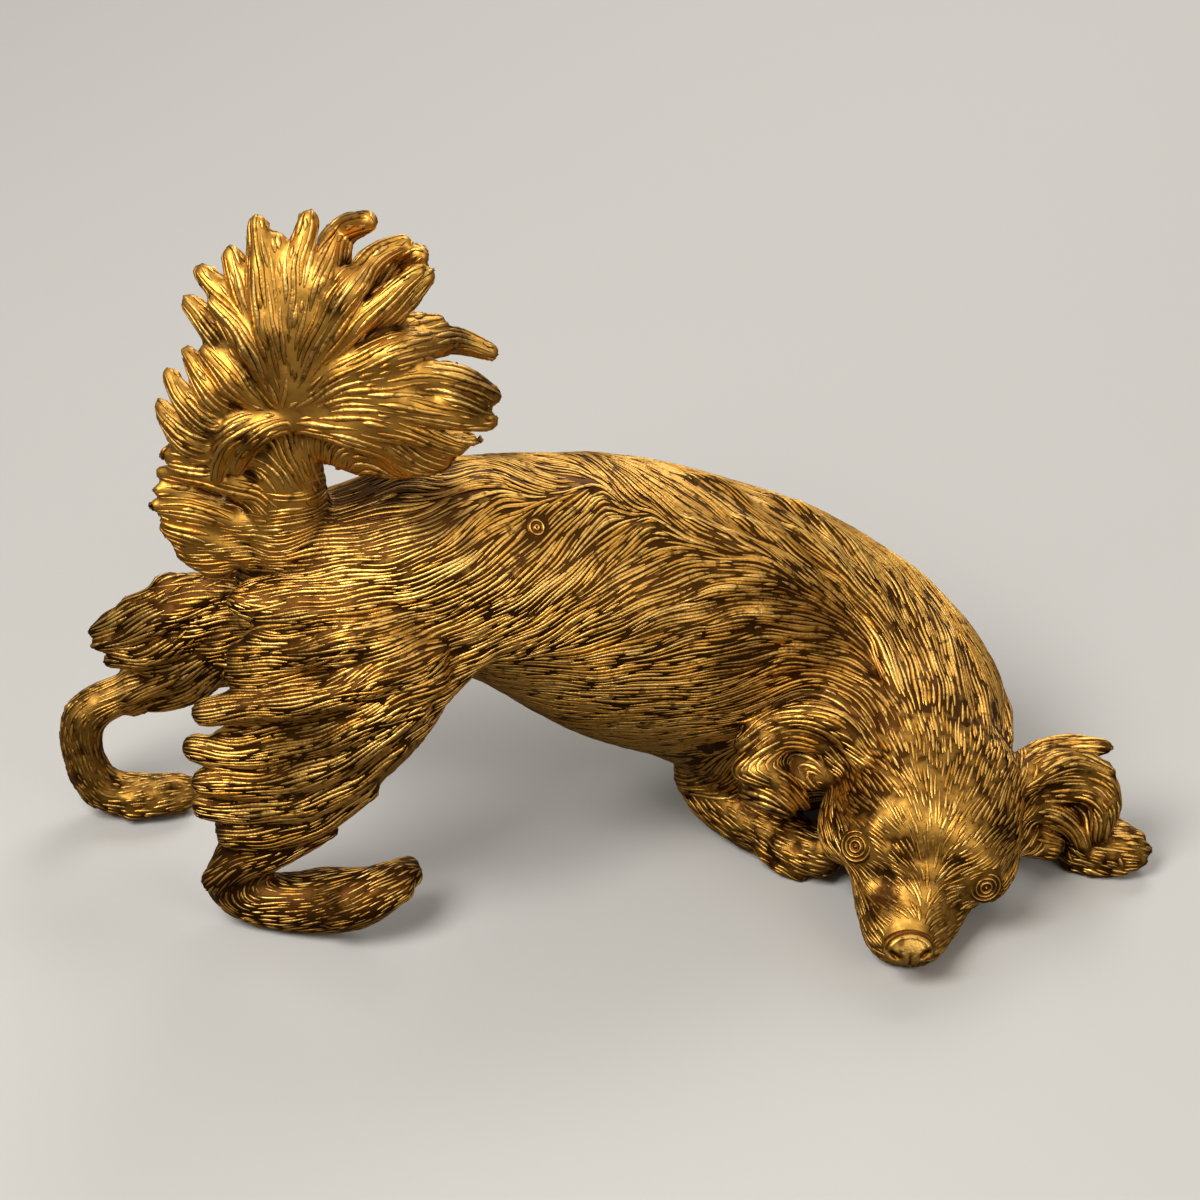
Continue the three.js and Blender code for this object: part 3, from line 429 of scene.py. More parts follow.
def filled(values):
    """Values with the closed hollows made solid: what the outside can't reach is metal."""
    coarse = values[::FILL_STEP, ::FILL_STEP, ::FILL_STEP] > FILL_FREE
    outside = np.zeros_like(coarse)
    outside[0] = coarse[0]
    while True:
        grown = outside.copy()
        for axis in range(3):
            ahead = np.moveaxis(grown, axis, 0)
            behind = np.moveaxis(outside, axis, 0)
            ahead[1:] |= behind[:-1]
            ahead[:-1] |= behind[1:]
        grown &= coarse
        if (grown == outside).all():
            break
        outside = grown
    hollow = coarse & ~outside
    near_hollow = np.zeros_like(hollow)
    near_outside = np.zeros_like(hollow)
    for shift in np.ndindex(3, 3, 3):
        near_hollow |= np.roll(hollow, np.array(shift) - 1, axis=(0, 1, 2))
        near_outside |= np.roll(outside, np.array(shift) - 1, axis=(0, 1, 2))
    fine = near_hollow & ~near_outside
    for axis in range(3):
        fine = np.repeat(fine, FILL_STEP, axis)
    return np.where(fine[tuple(slice(0, n) for n in values.shape)], -BAND, values)


def merged_softly(one, other, reach):
    """The union of two sets of values, with a fillet of about that reach where they meet."""
    share = np.clip(0.5 + 0.5 * (other - one) / reach, 0, 1)
    return other + (one - other) * share - reach * share * (1 - share)


# Strokes on the picture plane are thrown along the view onto a field
VIEW_BACK = np.array([0, -math.cos(VIEW_ELEVATION), math.sin(VIEW_ELEVATION)])
VIEW_UP = np.array([0, math.sin(VIEW_ELEVATION), math.cos(VIEW_ELEVATION)])
VIEW_EYE = VIEW_TARGET + VIEW_DISTANCE * VIEW_BACK
MISS_REACH = 3.5  # how far outside a surface a stroke may pass


def thrown(pixels, field):
    """Where the view's rays through pixels first meet the field's surface, or pass near it."""
    pixels = np.asarray(pixels, float).reshape(-1, 2)
    across = (pixels[:, 0] / PICTURE * 2 - 1) * VIEW_HALF_WIDTH
    upward = (1 - pixels[:, 1] / PICTURE * 2) * VIEW_HALF_WIDTH
    aim = VIEW_TARGET + across[:, None] * np.array([1, 0, 0]) + upward[:, None] * VIEW_UP
    ray = unit(aim - VIEW_EYE)
    depths = np.arange(VIEW_DISTANCE - VIEW_DEPTH, VIEW_DISTANCE + VIEW_DEPTH, RAY_STEP)
    places = VIEW_EYE + depths[:, None, None] * ray
    values = field.at(places.reshape(-1, 3)).reshape(len(depths), len(pixels))
    inside = values < 0
    met = inside.any(axis=0)
    first = np.where(met, inside.argmax(axis=0), values.argmin(axis=0))
    points = places[first, np.arange(len(pixels))]
    over = np.where(met, field.at(points), np.maximum(field.at(points) - MISS_REACH, 0))
    return points - over[:, None] * field.slope(points)


def along_path(points, step):
    """A rounded path through the points, with a point about every step millimetres."""
    gaps = np.linalg.norm(np.diff(points, axis=0), axis=1)
    run = np.concatenate([[0], np.cumsum(gaps)])
    stations = np.linspace(0, run[-1], max(3, int(run[-1] / step) + 1))
    path = np.stack([np.interp(stations, run, points[:, axis]) for axis in range(3)], axis=1)
    for _ in range(2):
        path[1:-1] = (path[:-2] + 2 * path[1:-1] + path[2:]) / 4
    return path


def spread(three, count):
    """Values at root, middle and tip, spread over so many points."""
    return np.interp(np.linspace(0, 2, count), range(3), three)


def rod(path, half, places):
    """Distances of places from a rod along a path, with its half width at each point of the path."""
    values = np.full(places.shape[:-1], BAND, np.float32)
    for start, end, wide, narrow in zip(path[:-1], path[1:], half[:-1], half[1:]):
        way = (end - start).astype(np.float32)
        offset = places - start.astype(np.float32)
        share = np.clip(offset @ way / max(way @ way, 1e-6), 0, 1)
        gap = np.linalg.norm(offset - share[..., None] * way, axis=-1)
        values = np.minimum(values, gap - (wide + share * (narrow - wide)))
    return values


# Masses that are smoothed as one, with the width of the smoothing and the fillet to what comes before
TRUNK = ["torso_casting", "rump_casting"]
PLUME = ["tail_plume"]
MASSES = [
    (TRUNK, 2.6, 1),
    (["right_hind_leg"], 1.5, 2.5),
    (["left_hind_thigh"], 1.2, 2.5),
    (["left_hind_shank"], 0.9, 1.5),
    (["right_foreleg", "left_foreleg"], 1.0, 2.5),
    (["head_casting"], 1.0, 6),
    (PLUME, 1.1, 2),
    (["right_ear"], 0.6, 1.2),
    (["left_ear"], 0.6, 1.2),
]
TRUNK_SWELL = 0.2  # closes the seams of the trunk, so that it can be filled
LAST_SMOOTHING = 0.45
SOLE = 0.3  # height of the skin under the soles, so that the hair ends at the ground
# Shade is painted into the hollows of the skin, darkest in the deepest ones, which this smoothing shows up
HOLLOW_WIDTH = 1.5  # of the smoothing that shows up hollows
HOLLOW_DEPTH = 0.6  # of the darkest ones

# Fields of the castings, which locks are added to, and the same without locks
own_field = {node: distance_field(node) for node in CASTINGS}
solid_field = {node: Field(field.values.copy(), field.box) for node, field in own_field.items()}
fittings = [distance_field(node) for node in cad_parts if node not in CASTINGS]
skin = Field(np.full(SHAPE, BAND, np.float32), tuple(slice(0, n) for n in SHAPE))
for members, smoothing, fillet in MASSES:
    pieces = [own_field[node] for node in members]
    box = grid_box(sum([piece.ends() for piece in pieces], []), 0)
    if members == TRUNK:
        pieces += fittings
    mass = np.full(box_shape(box), BAND, np.float32)
    for piece in pieces:
        # a fitting that starts outside the trunk is left out
        if all(part.start >= whole.start for part, whole in zip(piece.box, box)):
            in_mass, in_piece = shared(box, piece.box)
            mass[in_mass] = np.minimum(mass[in_mass], piece.values[in_piece])
    if members == TRUNK:
        mass = filled(mass - TRUNK_SWELL)
    if members == PLUME:
        places = box_places(box)
        mass = np.maximum(mass, np.minimum(places[..., 2] - PLUME_FOOT, PLUME_FACE - places[..., 1]))
    skin.values[box] = merged_softly(skin.values[box], blurred(mass, smoothing), fillet)

# Swellings and hollows in the joined masses
for casting, pixel, radius, rise in FORMS:
    sign = math.copysign(1, rise)
    spot = skin.onto(thrown([pixel], own_field[casting]), rounds=4)
    middle = (spot - (sign * radius - rise) * skin.slope(spot))[0]
    box = grid_box([middle], FORM_REACH * radius)
    away = np.linalg.norm(box_places(box) - middle.astype(np.float32), axis=-1)
    ball = (away - radius).astype(np.float32)
    skin.values[box] = sign * merged_softly(sign * skin.values[box], ball, FORM_FILLET * radius)

# Locks stand out of the castings, on the torso also out of its swellings
paths = {}
for group, (casting, sizes, lift) in LOCKS.items():
    base = skin if casting == "torso_casting" else solid_field[casting]
    own = own_field[casting]
    paths[group] = []
    for stroke in STROKES[group]:
        path = along_path(thrown(stroke, base), PATH_STEP)
        path += spread(lift, len(path))[:, None] * VIEW_BACK
        paths[group].append(path)
        half = spread(sizes, len(path))
        core = path - LOCK_SUNK * half[:, None] * VIEW_BACK
        box = grid_box(core, max(sizes) + LOCK_ROOM)
        lock = rod(core, half, box_places(box))
        skin.values[box] = merged_softly(skin.values[box], lock, LOCK_FILLET)
        in_own, in_lock = shared(own.box, box)
        own.values[in_own] = np.minimum(own.values[in_own], lock[in_lock])
skin.values = blurred(filled(skin.values), LAST_SMOOTHING)
under_sole = SOLE - ORIGIN[2] - VOXEL * np.arange(SHAPE[2], dtype=np.float32)
skin.values = np.maximum(skin.values, under_sole)
deep = Field(blurred(skin.values, HOLLOW_WIDTH), skin.box)


def shade_at(points):
    """How far points lie in a hollow of the skin, from 0 on smooth skin to 1 between locks: the share of
    painted shade there.
    """
    return np.clip(-deep.at(points) / HOLLOW_DEPTH, 0, 1)


# Darker spots, partly gold worn away and partly shade painted into hollows: place on the picture plane,
# radius and share of the gold that is taken away
WEAR_AND_SHADE_SPOTS = [
    ((372, 494), 11.0, 1.0),  # hollow before the tail
    ((430, 505), 8.0, 0.8),
    ((445, 520), 2.5, 0.8),  # haunch
    ((468, 548), 2.5, 0.8),
    ((300, 640), 7.0, 0.6),
    ((250, 690), 8.0, 0.5),
    ((330, 730), 7.0, 0.5),
    ((738, 662), 8.0, 0.7),  # shoulder
    ((735, 700), 6.0, 0.6),
    ((872, 706), 7.0, 0.5),  # neck
    ((150, 585), 8.0, 0.5),  # far thigh
    ((330, 902), 7.0, 0.5),  # near foot
    ((905, 850), 3.0, 0.7),  # beside the eyes
    ((955, 866), 3.0, 0.6),
    ((880, 905), 4.0, 0.6),  # muzzle
    ((868, 795), 4.0, 0.6),  # temples
    ((1005, 830), 4.0, 0.6),
    ((478, 392), 5.0, 0.7),  # plume
    ((215, 330), 4.0, 0.7),
    ((330, 300), 3.5, 0.5),
    ((195, 430), 6.0, 0.5),
    ((250, 440), 4.0, 0.5),
]
wear_and_shade_places = skin.onto(thrown([pixel for pixel, _, _ in WEAR_AND_SHADE_SPOTS], skin))


def wear_and_shade_at(points):
    """Share of the gold taken away at points, for wear and painted shade, all of a spot's share within half
    its radius.
    """
    gold_taken = np.zeros(len(points))
    for spot, (_, radius, share) in zip(wear_and_shade_places, WEAR_AND_SHADE_SPOTS):
        away = np.linalg.norm(points - spot, axis=1)
        gold_taken = np.maximum(gold_taken, share * np.clip(2 - 2 * away / radius, 0, 1))
    return gold_taken


# For each grid point, which casting is nearest
nearest = np.full(SHAPE, BAND, np.float32)
second = nearest.copy()
owner = np.zeros(SHAPE, np.uint8)
for number, node in enumerate(CASTINGS):
    field = own_field[node]
    box = field.box
    closer = field.values < nearest[box]
    second[box] = np.where(closer, nearest[box], np.minimum(second[box], field.values))
    owner[box][closer] = number
    nearest[box] = np.minimum(nearest[box], field.values)


class Flow:
    """The lie of the hair over a casting: at a point, the mean of the strokes near it."""

    def __init__(self, paths, depth_weight, softness):
        self.scale = np.array([1, depth_weight, 1])
        self.softness = softness
        self.places = np.concatenate([0.5 * (path[1:] + path[:-1]) for path in paths]) * self.scale
        self.ways = np.concatenate([unit(np.diff(path, axis=0)) for path in paths])

    def at(self, points, normals):
        points = points * self.scale
        gap = (points**2).sum(axis=1)[:, None] + (self.places**2).sum(axis=1) - 2 * points @ self.places.T
        weight = 1 / (np.maximum(gap, 0) + self.softness) ** 2
        way = weight @ self.ways
        way = way - (way * normals).sum(axis=1, keepdims=True) * normals
        return unit(way)


# How much depth counts, and how soft the mean is. On castings made of locks, hair keeps to its own lock.
BODY_LIE = (0.35, 4.0)
LOCK_LIE = (0.8, 1.0)
LOCK_CASTINGS = ("tail_plume", "right_ear", "left_ear")
flows = {}
for node, groups in HAIR_GROUPS.items():
    for group in groups:
        if group not in paths:
            laid = [skin.onto(thrown(stroke, skin)) for stroke in STROKES[group]]
            paths[group] = [along_path(points, PATH_STEP) for points in laid]
    lie = LOCK_LIE if node in LOCK_CASTINGS else BODY_LIE
    flows[node] = Flow(sum([paths[group] for group in groups], []), *lie)

# Skins: the joined surface parted into the castings. Past its border a skin dives under its neighbour's.
DIVE_START = 0.8  # past the border
DIVE_SLOPE = 0.5
SKIN_END = 3.0  # past the border
SKIN_BAND = 2.0  # depth of the values that a skin is drawn from


def skin_part(node):
    """The values that a casting's skin is drawn from, and how far places lie past the casting's border."""
    own = own_field[node]
    is_own = owner[own.box] == CASTINGS.index(node)
    past = own.values - np.where(is_own, second[own.box], nearest[own.box])
    dive = DIVE_SLOPE * np.maximum(past - DIVE_START, 0)
    values = np.maximum(skin.values[own.box] + dive, past - SKIN_END)
    return np.clip(values, -SKIN_BAND, SKIN_BAND).astype(np.float32), past


def surface(values, corner):
    """Points and faces of the zero surface of values, facing outwards, and the corners of its triangles."""
    grid = openvdb.FloatGrid(SKIN_BAND)
    grid.copyFromArray(values)
    points, triangles, quads = grid.convertToPolygons(0.0, SKIN_EASE)
    points = points * VOXEL + corner
    corners = np.concatenate([triangles, quads[:, :3], quads[:, [0, 2, 3]]])
    a, b, c = (points[corners[:, i]] for i in range(3))
    volume = (np.cross(a, b) * c).sum()
    turn = 1 if volume > 0 else -1
    return points, triangles[:, ::turn].tolist() + quads[:, ::turn].tolist(), corners


def add_object(name, mesh):
    obj = bpy.data.objects.new(name, mesh)
    bpy.context.scene.collection.objects.link(obj)
    return obj


def mesh_object(name, points, faces):
    mesh = bpy.data.meshes.new(name)
    mesh.from_pydata((points * MM).tolist(), [], faces)
    mesh.shade_smooth()
    return add_object(name, mesh)


def give_attribute(mesh, label, values, kind="FLOAT"):
    attribute = mesh.attributes.new(label, kind, "POINT")
    content = "vector" if kind == "FLOAT_VECTOR" else "value"
    attribute.data.foreach_set(content, values.astype(np.float32).ravel())


def linear(code):
    """An sRGB hex colour as linear red, green, blue and alpha."""
    channels = [int(code[i : i + 2], 16) / 255 for i in (1, 3, 5)]
    return [c / 12.92 if c <= 0.04045 else ((c + 0.055) / 1.055) ** 2.4 for c in channels] + [1.0]


def add_node(tree, kind, links=(), inputs=None, **settings):
    """Adds a node with its settings, its unlinked inputs and its links from (node, output) to an input."""
    node = tree.nodes.new(kind)
    for name, value in settings.items():
        setattr(node, name, value)
    for name, value in (inputs or {}).items():
        node.inputs[name].default_value = value
    for source, output, target in links:
        tree.links.new(source.outputs[output], node.inputs[target])
    return node


# Chased hair: ridges in rows along the lie of the hair. Gap between rows, length and half width of a ridge,
# the share of its height by which it is pressed down, and the share of gold on the ground between ridges.
HAIR = {
    "torso_casting": (0.42, 24, 0.4, 0.35, 0.08),
    "rump_casting": (0.42, 20, 0.4, 0.35, 0.1),
    "right_hind_leg": (0.42, 18, 0.4, 0.35, 0.04),
    "left_hind_thigh": (0.45, 16, 0.42, 0.35, 0.08),
    "left_hind_shank": (0.42, 4, 0.34, 0.4, 0.3),
    "right_foreleg": (0.45, 6, 0.4, 0.4, 0.25),
    "left_foreleg": (0.45, 6, 0.4, 0.4, 0.25),
    "head_casting": (0.42, 7, 0.36, 0.4, 0.24),
    "right_ear": (0.56, 14, 0.48, 0.25, 0.25),
    "left_ear": (0.56, 14, 0.48, 0.25, 0.25),
    "tail_plume": (0.68, 22, 0.55, 0.2, 0.6),
}
HAIR_STATIONS = 6  # fewest steps along a ridge
SHORTEST_HAIR = 3  # points of a ridge, at the least
HAIR_SUNK = 0.1  # share of its half width by which a ridge's middle lies in the skin
HAIR_OFF = 0.35  # distance from the skin at which a ridge is cut
HAIR_PAST = 0.2  # how far past a casting's border its hair may start
RIDGE_SIDES = 6
RIDGE_WIDTHS = (0.75, 1.15)  # spread of the widths between ridges
STATION_WIDTHS = (0.8, 1.15)  # and along a ridge
RIDGE_WEAR_AND_SHADE = (0.4, 1.3)  # spread between ridges of the wear and painted shade of the spots
FOOT_HEIGHT = {"right_hind_leg": 24.0}  # below this, ridges are short and thin
FOOT_HAIR = 6  # points of a ridge there, at the most
FOOT_WIDTH = 0.65
CELL = 0.25  # of the grid that keeps ridges apart
MOST_RIDGE_POINTS = 14000  # in one piece
SEED_DENSITY = 2.0  # places to each square millimetre where a ridge is tried
FEWEST_SEEDS = 1000
MOST_SEEDS = 26000
dice = np.random.default_rng(SEED)

# Bare spots: the eyes, the nose pad and the plug
eye_spots = skin.onto(thrown(EYES, skin))
nose_spot = skin.onto(thrown([NOSE], skin))
plug_spot = skin.onto(thrown([PLUG], skin))
taken = np.zeros([int(n * VOXEL / CELL) + 1 for n in SHAPE], bool)


def cells(points):
    return np.round((points - ORIGIN) / CELL).astype(int)


def ball_cells(reach):
    """Steps from a cell to all cells within a reach."""
    count = int(reach / CELL)
    steps = np.array(list(np.ndindex(*[2 * count + 1] * 3))) - count
    return steps[np.linalg.norm(steps * CELL, axis=1) <= reach]


for spots, reach in [(eye_spots, EYE_BARE), (nose_spot, NOSE_BARE), (plug_spot, PLUG_BARE)]:
    for spot in spots:
        taken[tuple((cells(spot) + ball_cells(reach)).T)] = True


def wobble(points):
    """A slow turn of the hair to left and right, in radians."""
    x, y, z = points.T
    return 0.08 * np.sin(0.45 * x + 0.4 * z + 0.3 * y) + 0.06 * np.sin(0.8 * z - 0.6 * x + 1.7 + 0.5 * y)


def traced(flow, seeds, steps, step):
    """Lines along the hair from the seeds, over the skin."""
    rows = [skin.onto(seeds)]
    for _ in range(steps):
        normals = skin.slope(rows[-1])
        way = flow.at(rows[-1], normals)
        turn = wobble(rows[-1])[:, None]
        way = np.cos(turn) * way + np.sin(turn) * np.cross(normals, way)
        rows.append(skin.onto(rows[-1] + step * way, 2))
    return np.stack(rows, axis=1)


def chosen(lines, gap, shortest):
    """Lines that keep clear of each other, cut to their longest free run."""
    ball = ball_cells(gap)
    kept = []
    for line in lines:
        cell = cells(line)
        free = ~taken[tuple(cell.T)]
        runs = np.flatnonzero(np.diff(np.concatenate([[0], free, [0]]))).reshape(-1, 2)
        if len(runs) == 0:
            continue
        start, end = runs[np.argmax(runs[:, 1] - runs[:, 0])]
        if end - start < shortest:
            continue
        kept.append(line[start:end])
        between = cells((line[start : end - 1] + line[start + 1 : end]) / 2)
        marks = np.concatenate([cell[start:end], between])[:, None, :] + ball
        taken[tuple(marks.reshape(-1, 3).T)] = True
    return kept


def scattered(points, corners):
    """Random places all over a surface, so many to each square millimetre."""
    a, b, c = (points[corners[:, i]] for i in range(3))
    areas = 0.5 * np.linalg.norm(np.cross(b - a, c - a), axis=1)
    count = int(np.clip(areas.sum() * SEED_DENSITY, FEWEST_SEEDS, MOST_SEEDS))
    at = dice.choice(len(areas), count, p=areas / areas.sum())
    one, two = dice.uniform(0, 1, (2, count, 1))
    root = np.sqrt(one)
    return (1 - root) * a[at] + root * (1 - two) * b[at] + root * two * c[at]


def hair_lines(node, seeds):
    """The lines of a casting's ridges: long ones first, then short ones in the room between them."""
    gap, length, _, _, _ = HAIR[node]
    steps = max(HAIR_STATIONS, length)
    lines = traced(flows[node], seeds, steps, length / steps)
    off = np.abs(skin.at(lines.reshape(-1, 3)).reshape(lines.shape[:2])) > HAIR_OFF
    on_skin = np.where(off.any(axis=1), off.argmax(axis=1), steps + 1)
    cut = np.minimum(dice.integers(steps // 2, steps + 2, len(lines)), on_skin)
    on_foot = lines[:, 0, 2] < FOOT_HEIGHT.get(node, 0)
    cut = np.where(on_foot, np.minimum(cut, FOOT_HAIR), cut)
    lines = [line[:end] for line, end in zip(lines, cut)]
    return chosen(lines, gap, steps / 2) + chosen(lines, gap, max(SHORTEST_HAIR, steps // 6))


def hair_tree():
    """Geometry nodes that sweep a tapered ridge along each chain of edges of a guide and press it down."""
    tree = bpy.data.node_groups.new("chased_hair", "GeometryNodeTree")
    inputs = {"Geometry": "Geometry", "Ridge sides": "Int", "Flatness": "Float", "Finish": "Material"}
    for label, kind in inputs.items():
        tree.interface.new_socket(label, in_out="INPUT", socket_type="NodeSocket" + kind)
    tree.interface.new_socket("Geometry", in_out="OUTPUT", socket_type="NodeSocketGeometry")

    def attribute(label, kind):
        return add_node(tree, "GeometryNodeInputNamedAttribute", inputs={"Name": label}, data_type=kind)

    def vector_maths(operation, *links):
        return add_node(tree, "ShaderNodeVectorMath", links, operation=operation)

    given = add_node(tree, "NodeGroupInput")
    curve = add_node(tree, "GeometryNodeMeshToCurve", [(given, "Geometry", "Mesh")])
    radius = attribute("ridge_radius", "FLOAT")
    sides = [(given, "Ridge sides", "Resolution")]
    profile = add_node(tree, "GeometryNodeCurvePrimitiveCircle", sides, {"Radius": 1.0})
    ridge = add_node(
        tree,
        "GeometryNodeCurveToMesh",
        [(curve, "Curve", "Curve"), (profile, "Curve", "Profile Curve"), (radius, "Attribute", "Scale")],
        {"Fill Caps": True},
    )
    lift = attribute("ridge_lift", "FLOAT_VECTOR")
    middle = attribute("ridge_middle", "FLOAT_VECTOR")
    place = add_node(tree, "GeometryNodeInputPosition")
    out = vector_maths("SUBTRACT", (place, "Position", 0), (middle, "Attribute", 1))
    high = vector_maths("DOT_PRODUCT", (out, "Vector", 0), (lift, "Attribute", 1))
    shares = [(high, "Value", 0), (given, "Flatness", 1)]
    less = add_node(tree, "ShaderNodeMath", shares, operation="MULTIPLY")
    down = add_node(tree, "ShaderNodeMath", [(less, "Value", 0)], {1: -1.0}, operation="MULTIPLY")
    shift = vector_maths("SCALE", (lift, "Attribute", 0), (down, "Value", "Scale"))
    moves = [(ridge, "Mesh", "Geometry"), (shift, "Vector", "Offset")]
    pressed = add_node(tree, "GeometryNodeSetPosition", moves)
    facing = add_node(tree, "GeometryNodeInputNormal")
    # How far each face of a ridge looks out of the skin, kept so that the sides of the ridge are painted in
    # shade
    crest = vector_maths("DOT_PRODUCT", (facing, "Normal", 0), (lift, "Attribute", 1))
    marked = add_node(
        tree,
        "GeometryNodeStoreNamedAttribute",
        [(pressed, "Geometry", "Geometry"), (crest, "Value", "Value")],
        {"Name": "crest"},
        data_type="FLOAT",
        domain="POINT",
    )
    smooth = add_node(tree, "GeometryNodeSetShadeSmooth", [(marked, "Geometry", "Geometry")])
    real = add_node(tree, "GeometryNodeRealizeInstances", [(smooth, "Geometry", "Geometry")])
    coats = [(real, "Geometry", "Geometry"), (given, "Finish", "Material")]
    finished = add_node(tree, "GeometryNodeSetMaterial", coats)
    add_node(tree, "NodeGroupOutput", [(finished, "Geometry", "Geometry")])
    return tree


def ridge_shape(count):
    """Half width of a ridge from root to tip, as shares."""
    share = np.linspace(0, 1, count)
    return np.clip(np.minimum(0.3 + 3.2 * share, 1.15 * (1 - share) ** 0.6 + 0.12), 0.1, 1)


def hair_object(name, lines, width, flatness, foot):
    """Ridges along lines as one mesh, thinner below the height of the foot."""
    counts = [len(line) for line in lines]
    points = np.concatenate(lines)
    normals = skin.slope(points)
    widths = width * dice.uniform(*RIDGE_WIDTHS, len(lines))
    half = np.concatenate([wide * ridge_shape(count) for count, wide in zip(counts, widths)])
    half *= dice.uniform(*STATION_WIDTHS, len(half)) * np.where(points[:, 2] < foot, FOOT_WIDTH, 1)
    points = points - (HAIR_SUNK * half)[:, None] * normals
    ends = np.setdiff1d(np.arange(len(points)), np.cumsum([0] + counts[:-1]))
    guide = bpy.data.meshes.new(name + "_guide")
    guide.from_pydata((points * MM).tolist(), np.stack([ends - 1, ends], axis=1).tolist(), [])
    give_attribute(guide, "ridge_radius", half * MM)
    give_attribute(guide, "ridge_tone", np.repeat(dice.uniform(0, 1, len(lines)), counts))
    give_attribute(guide, "ridge_lift", normals, "FLOAT_VECTOR")
    give_attribute(guide, "ridge_middle", points * MM, "FLOAT_VECTOR")
    # Painted shade on the ridges: in the hollows of the skin, and on the spots of worn gold and painted
    # shade
    worn = wear_and_shade_at(points) * np.repeat(dice.uniform(*RIDGE_WEAR_AND_SHADE, len(lines)), counts)
    give_attribute(guide, "shade", np.clip(np.maximum(shade_at(points), worn), 0, 1))
    source = add_object(name + "_guide", guide)
    modifier = source.modifiers.new("hair", "NODES")
    modifier.node_group = HAIR_TREE
    ids = {item.name: item.identifier for item in HAIR_TREE.interface.items_tree if item.in_out == "INPUT"}
    modifier[ids["Ridge sides"]] = RIDGE_SIDES
    modifier[ids["Flatness"]] = flatness
    modifier[ids["Finish"]] = gilt
    bpy.context.view_layer.update()
    mesh = bpy.data.meshes.new_from_object(source.evaluated_get(bpy.context.evaluated_depsgraph_get()))
    mesh.name = name
    bpy.data.objects.remove(source)
    return add_object(name, mesh)


def relief_disc(name, spot, half_width, half_height, height):
    """A small oval let into the skin, with its height given over its width and its way up."""
    normal = skin.slope(spot[None])[0]
    upward = unit(np.array([0, 0, 1]) - normal[2] * normal)
    across = np.cross(upward, normal)
    shares = np.linspace(0, 1, DISC_ROWS)[1:]
    turns = np.linspace(0, 2 * math.pi, DISC_TURNS, endpoint=False)
    x = half_width * shares[:, None] * np.cos(turns)
    y = half_height * shares[:, None] * np.sin(turns)
    flat = np.concatenate([[[0, 0]], np.stack([x.ravel(), y.ravel()], axis=1)])
    heights, painted_tones = height(*flat.T)
    rim = flat[-DISC_TURNS:]
    flat = np.concatenate([flat, rim, [[0, 0]]])
    heights = np.concatenate([heights, np.full(DISC_TURNS + 1, -DISC_DEPTH)])
    painted_tones = np.concatenate([painted_tones, np.full(DISC_TURNS + 1, -1)])
    points = spot + flat[:, :1] * across + flat[:, 1:] * upward + heights[:, None] * normal
    bottom = len(points) - 1
    foot = bottom - DISC_TURNS
    faces = []
    for i in range(DISC_TURNS):
        j = (i + 1) % DISC_TURNS
        faces.append((0, 1 + i, 1 + j))
        for row in range(DISC_ROWS - 1):
            start = 1 + row * DISC_TURNS
            faces.append((start + i, start + DISC_TURNS + i, start + DISC_TURNS + j, start + j))
        faces.append((foot + i, bottom, foot + j))
    disc = mesh_object(name, points, faces)
    # The tones paint shade into the rim, the nostrils and the ground between the rings
    give_attribute(disc.data, "crest", painted_tones)
    give_attribute(disc.data, "ridge_tone", np.full(len(points), DISC_TONE))
    return disc


def bell(distance, width):
    """1 in the middle, and next to nothing from twice the width on."""
    return np.exp(-((distance / width) ** 2))


def ring_height(rings, radius, dome):
    """Height and tone over a domed disc with raised rings: the tone paints the rings bright and the disc
    between them dark as shade.
    """

    def height(x, y):
        away = np.hypot(x, y)
        ridges = np.max([bell(away - ring, RING_WIDTH) for ring in rings], axis=0)
        return dome * (1 - (away / radius) ** 2) + RING_HEIGHT * ridges, 2 * ridges - 0.9

    return height


def nose_height(x, y):
    """Height and tone over the nose pad: a dome with a rolled upper rim, two nostrils and a groove. The tone
    paints shade into the nostrils, the groove and the edge.
    """
    share = np.hypot(x / NOSE_HALF_WIDTH, y / NOSE_HALF_HEIGHT)
    dome = NOSE_DOME * np.sqrt(np.clip(1 - share**2, 0, 1))
    upper = np.clip(y + 0.6, 0, 1)
    rim = bell(share - 0.72, 0.1) * upper
    edge = bell(share - 0.92, 0.07) * upper
    side = np.abs(x) - 2.5
    nostrils = bell(side, 0.75) * bell(y + 0.9 - 0.5 * side, 0.5)
    groove = bell(x, 0.2) * np.clip(-y - 0.4, 0, 1)
    height = dome + 0.2 * rim - 0.8 * nostrils - 0.25 * groove - 0.3 * edge
    return height, 0.8 - 2.2 * nostrils - 0.8 * groove - 1.2 * edge


def keep(piece, finish):
    if finish.name not in piece.data.materials:
        piece.data.materials.append(finish)
    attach(piece, "root")


FACE_GILDING = 0.2  # share of the gold that the face has more of
FACE_REACH = 32.0  # from the nose to where the face's gilding ends
FACE_FADE = 14.0  # over which it thins out
SHADE_AND_WEAR_LOSS = 0.7  # share of the gold taken away where shade is painted into hollows and on the worn and shaded spots


def new_finish(name, metallic):
    """A new material, its nodes and its shader."""
    finish = bpy.data.materials.new(name)
    finish.use_nodes = True
    shader = finish.node_tree.nodes["Principled BSDF"]
    shader.inputs["Metallic"].default_value = metallic
    return finish, finish.node_tree, shader


def add_noise(tree, size, detail):
    """Adds noise with grains of about that size in millimetres."""
    place = add_node(tree, "ShaderNodeTexCoord")
    inputs = {"Scale": 1 / (size * MM), "Detail": detail}
    return add_node(tree, "ShaderNodeTexNoise", [(place, "Object", "Vector")], inputs)


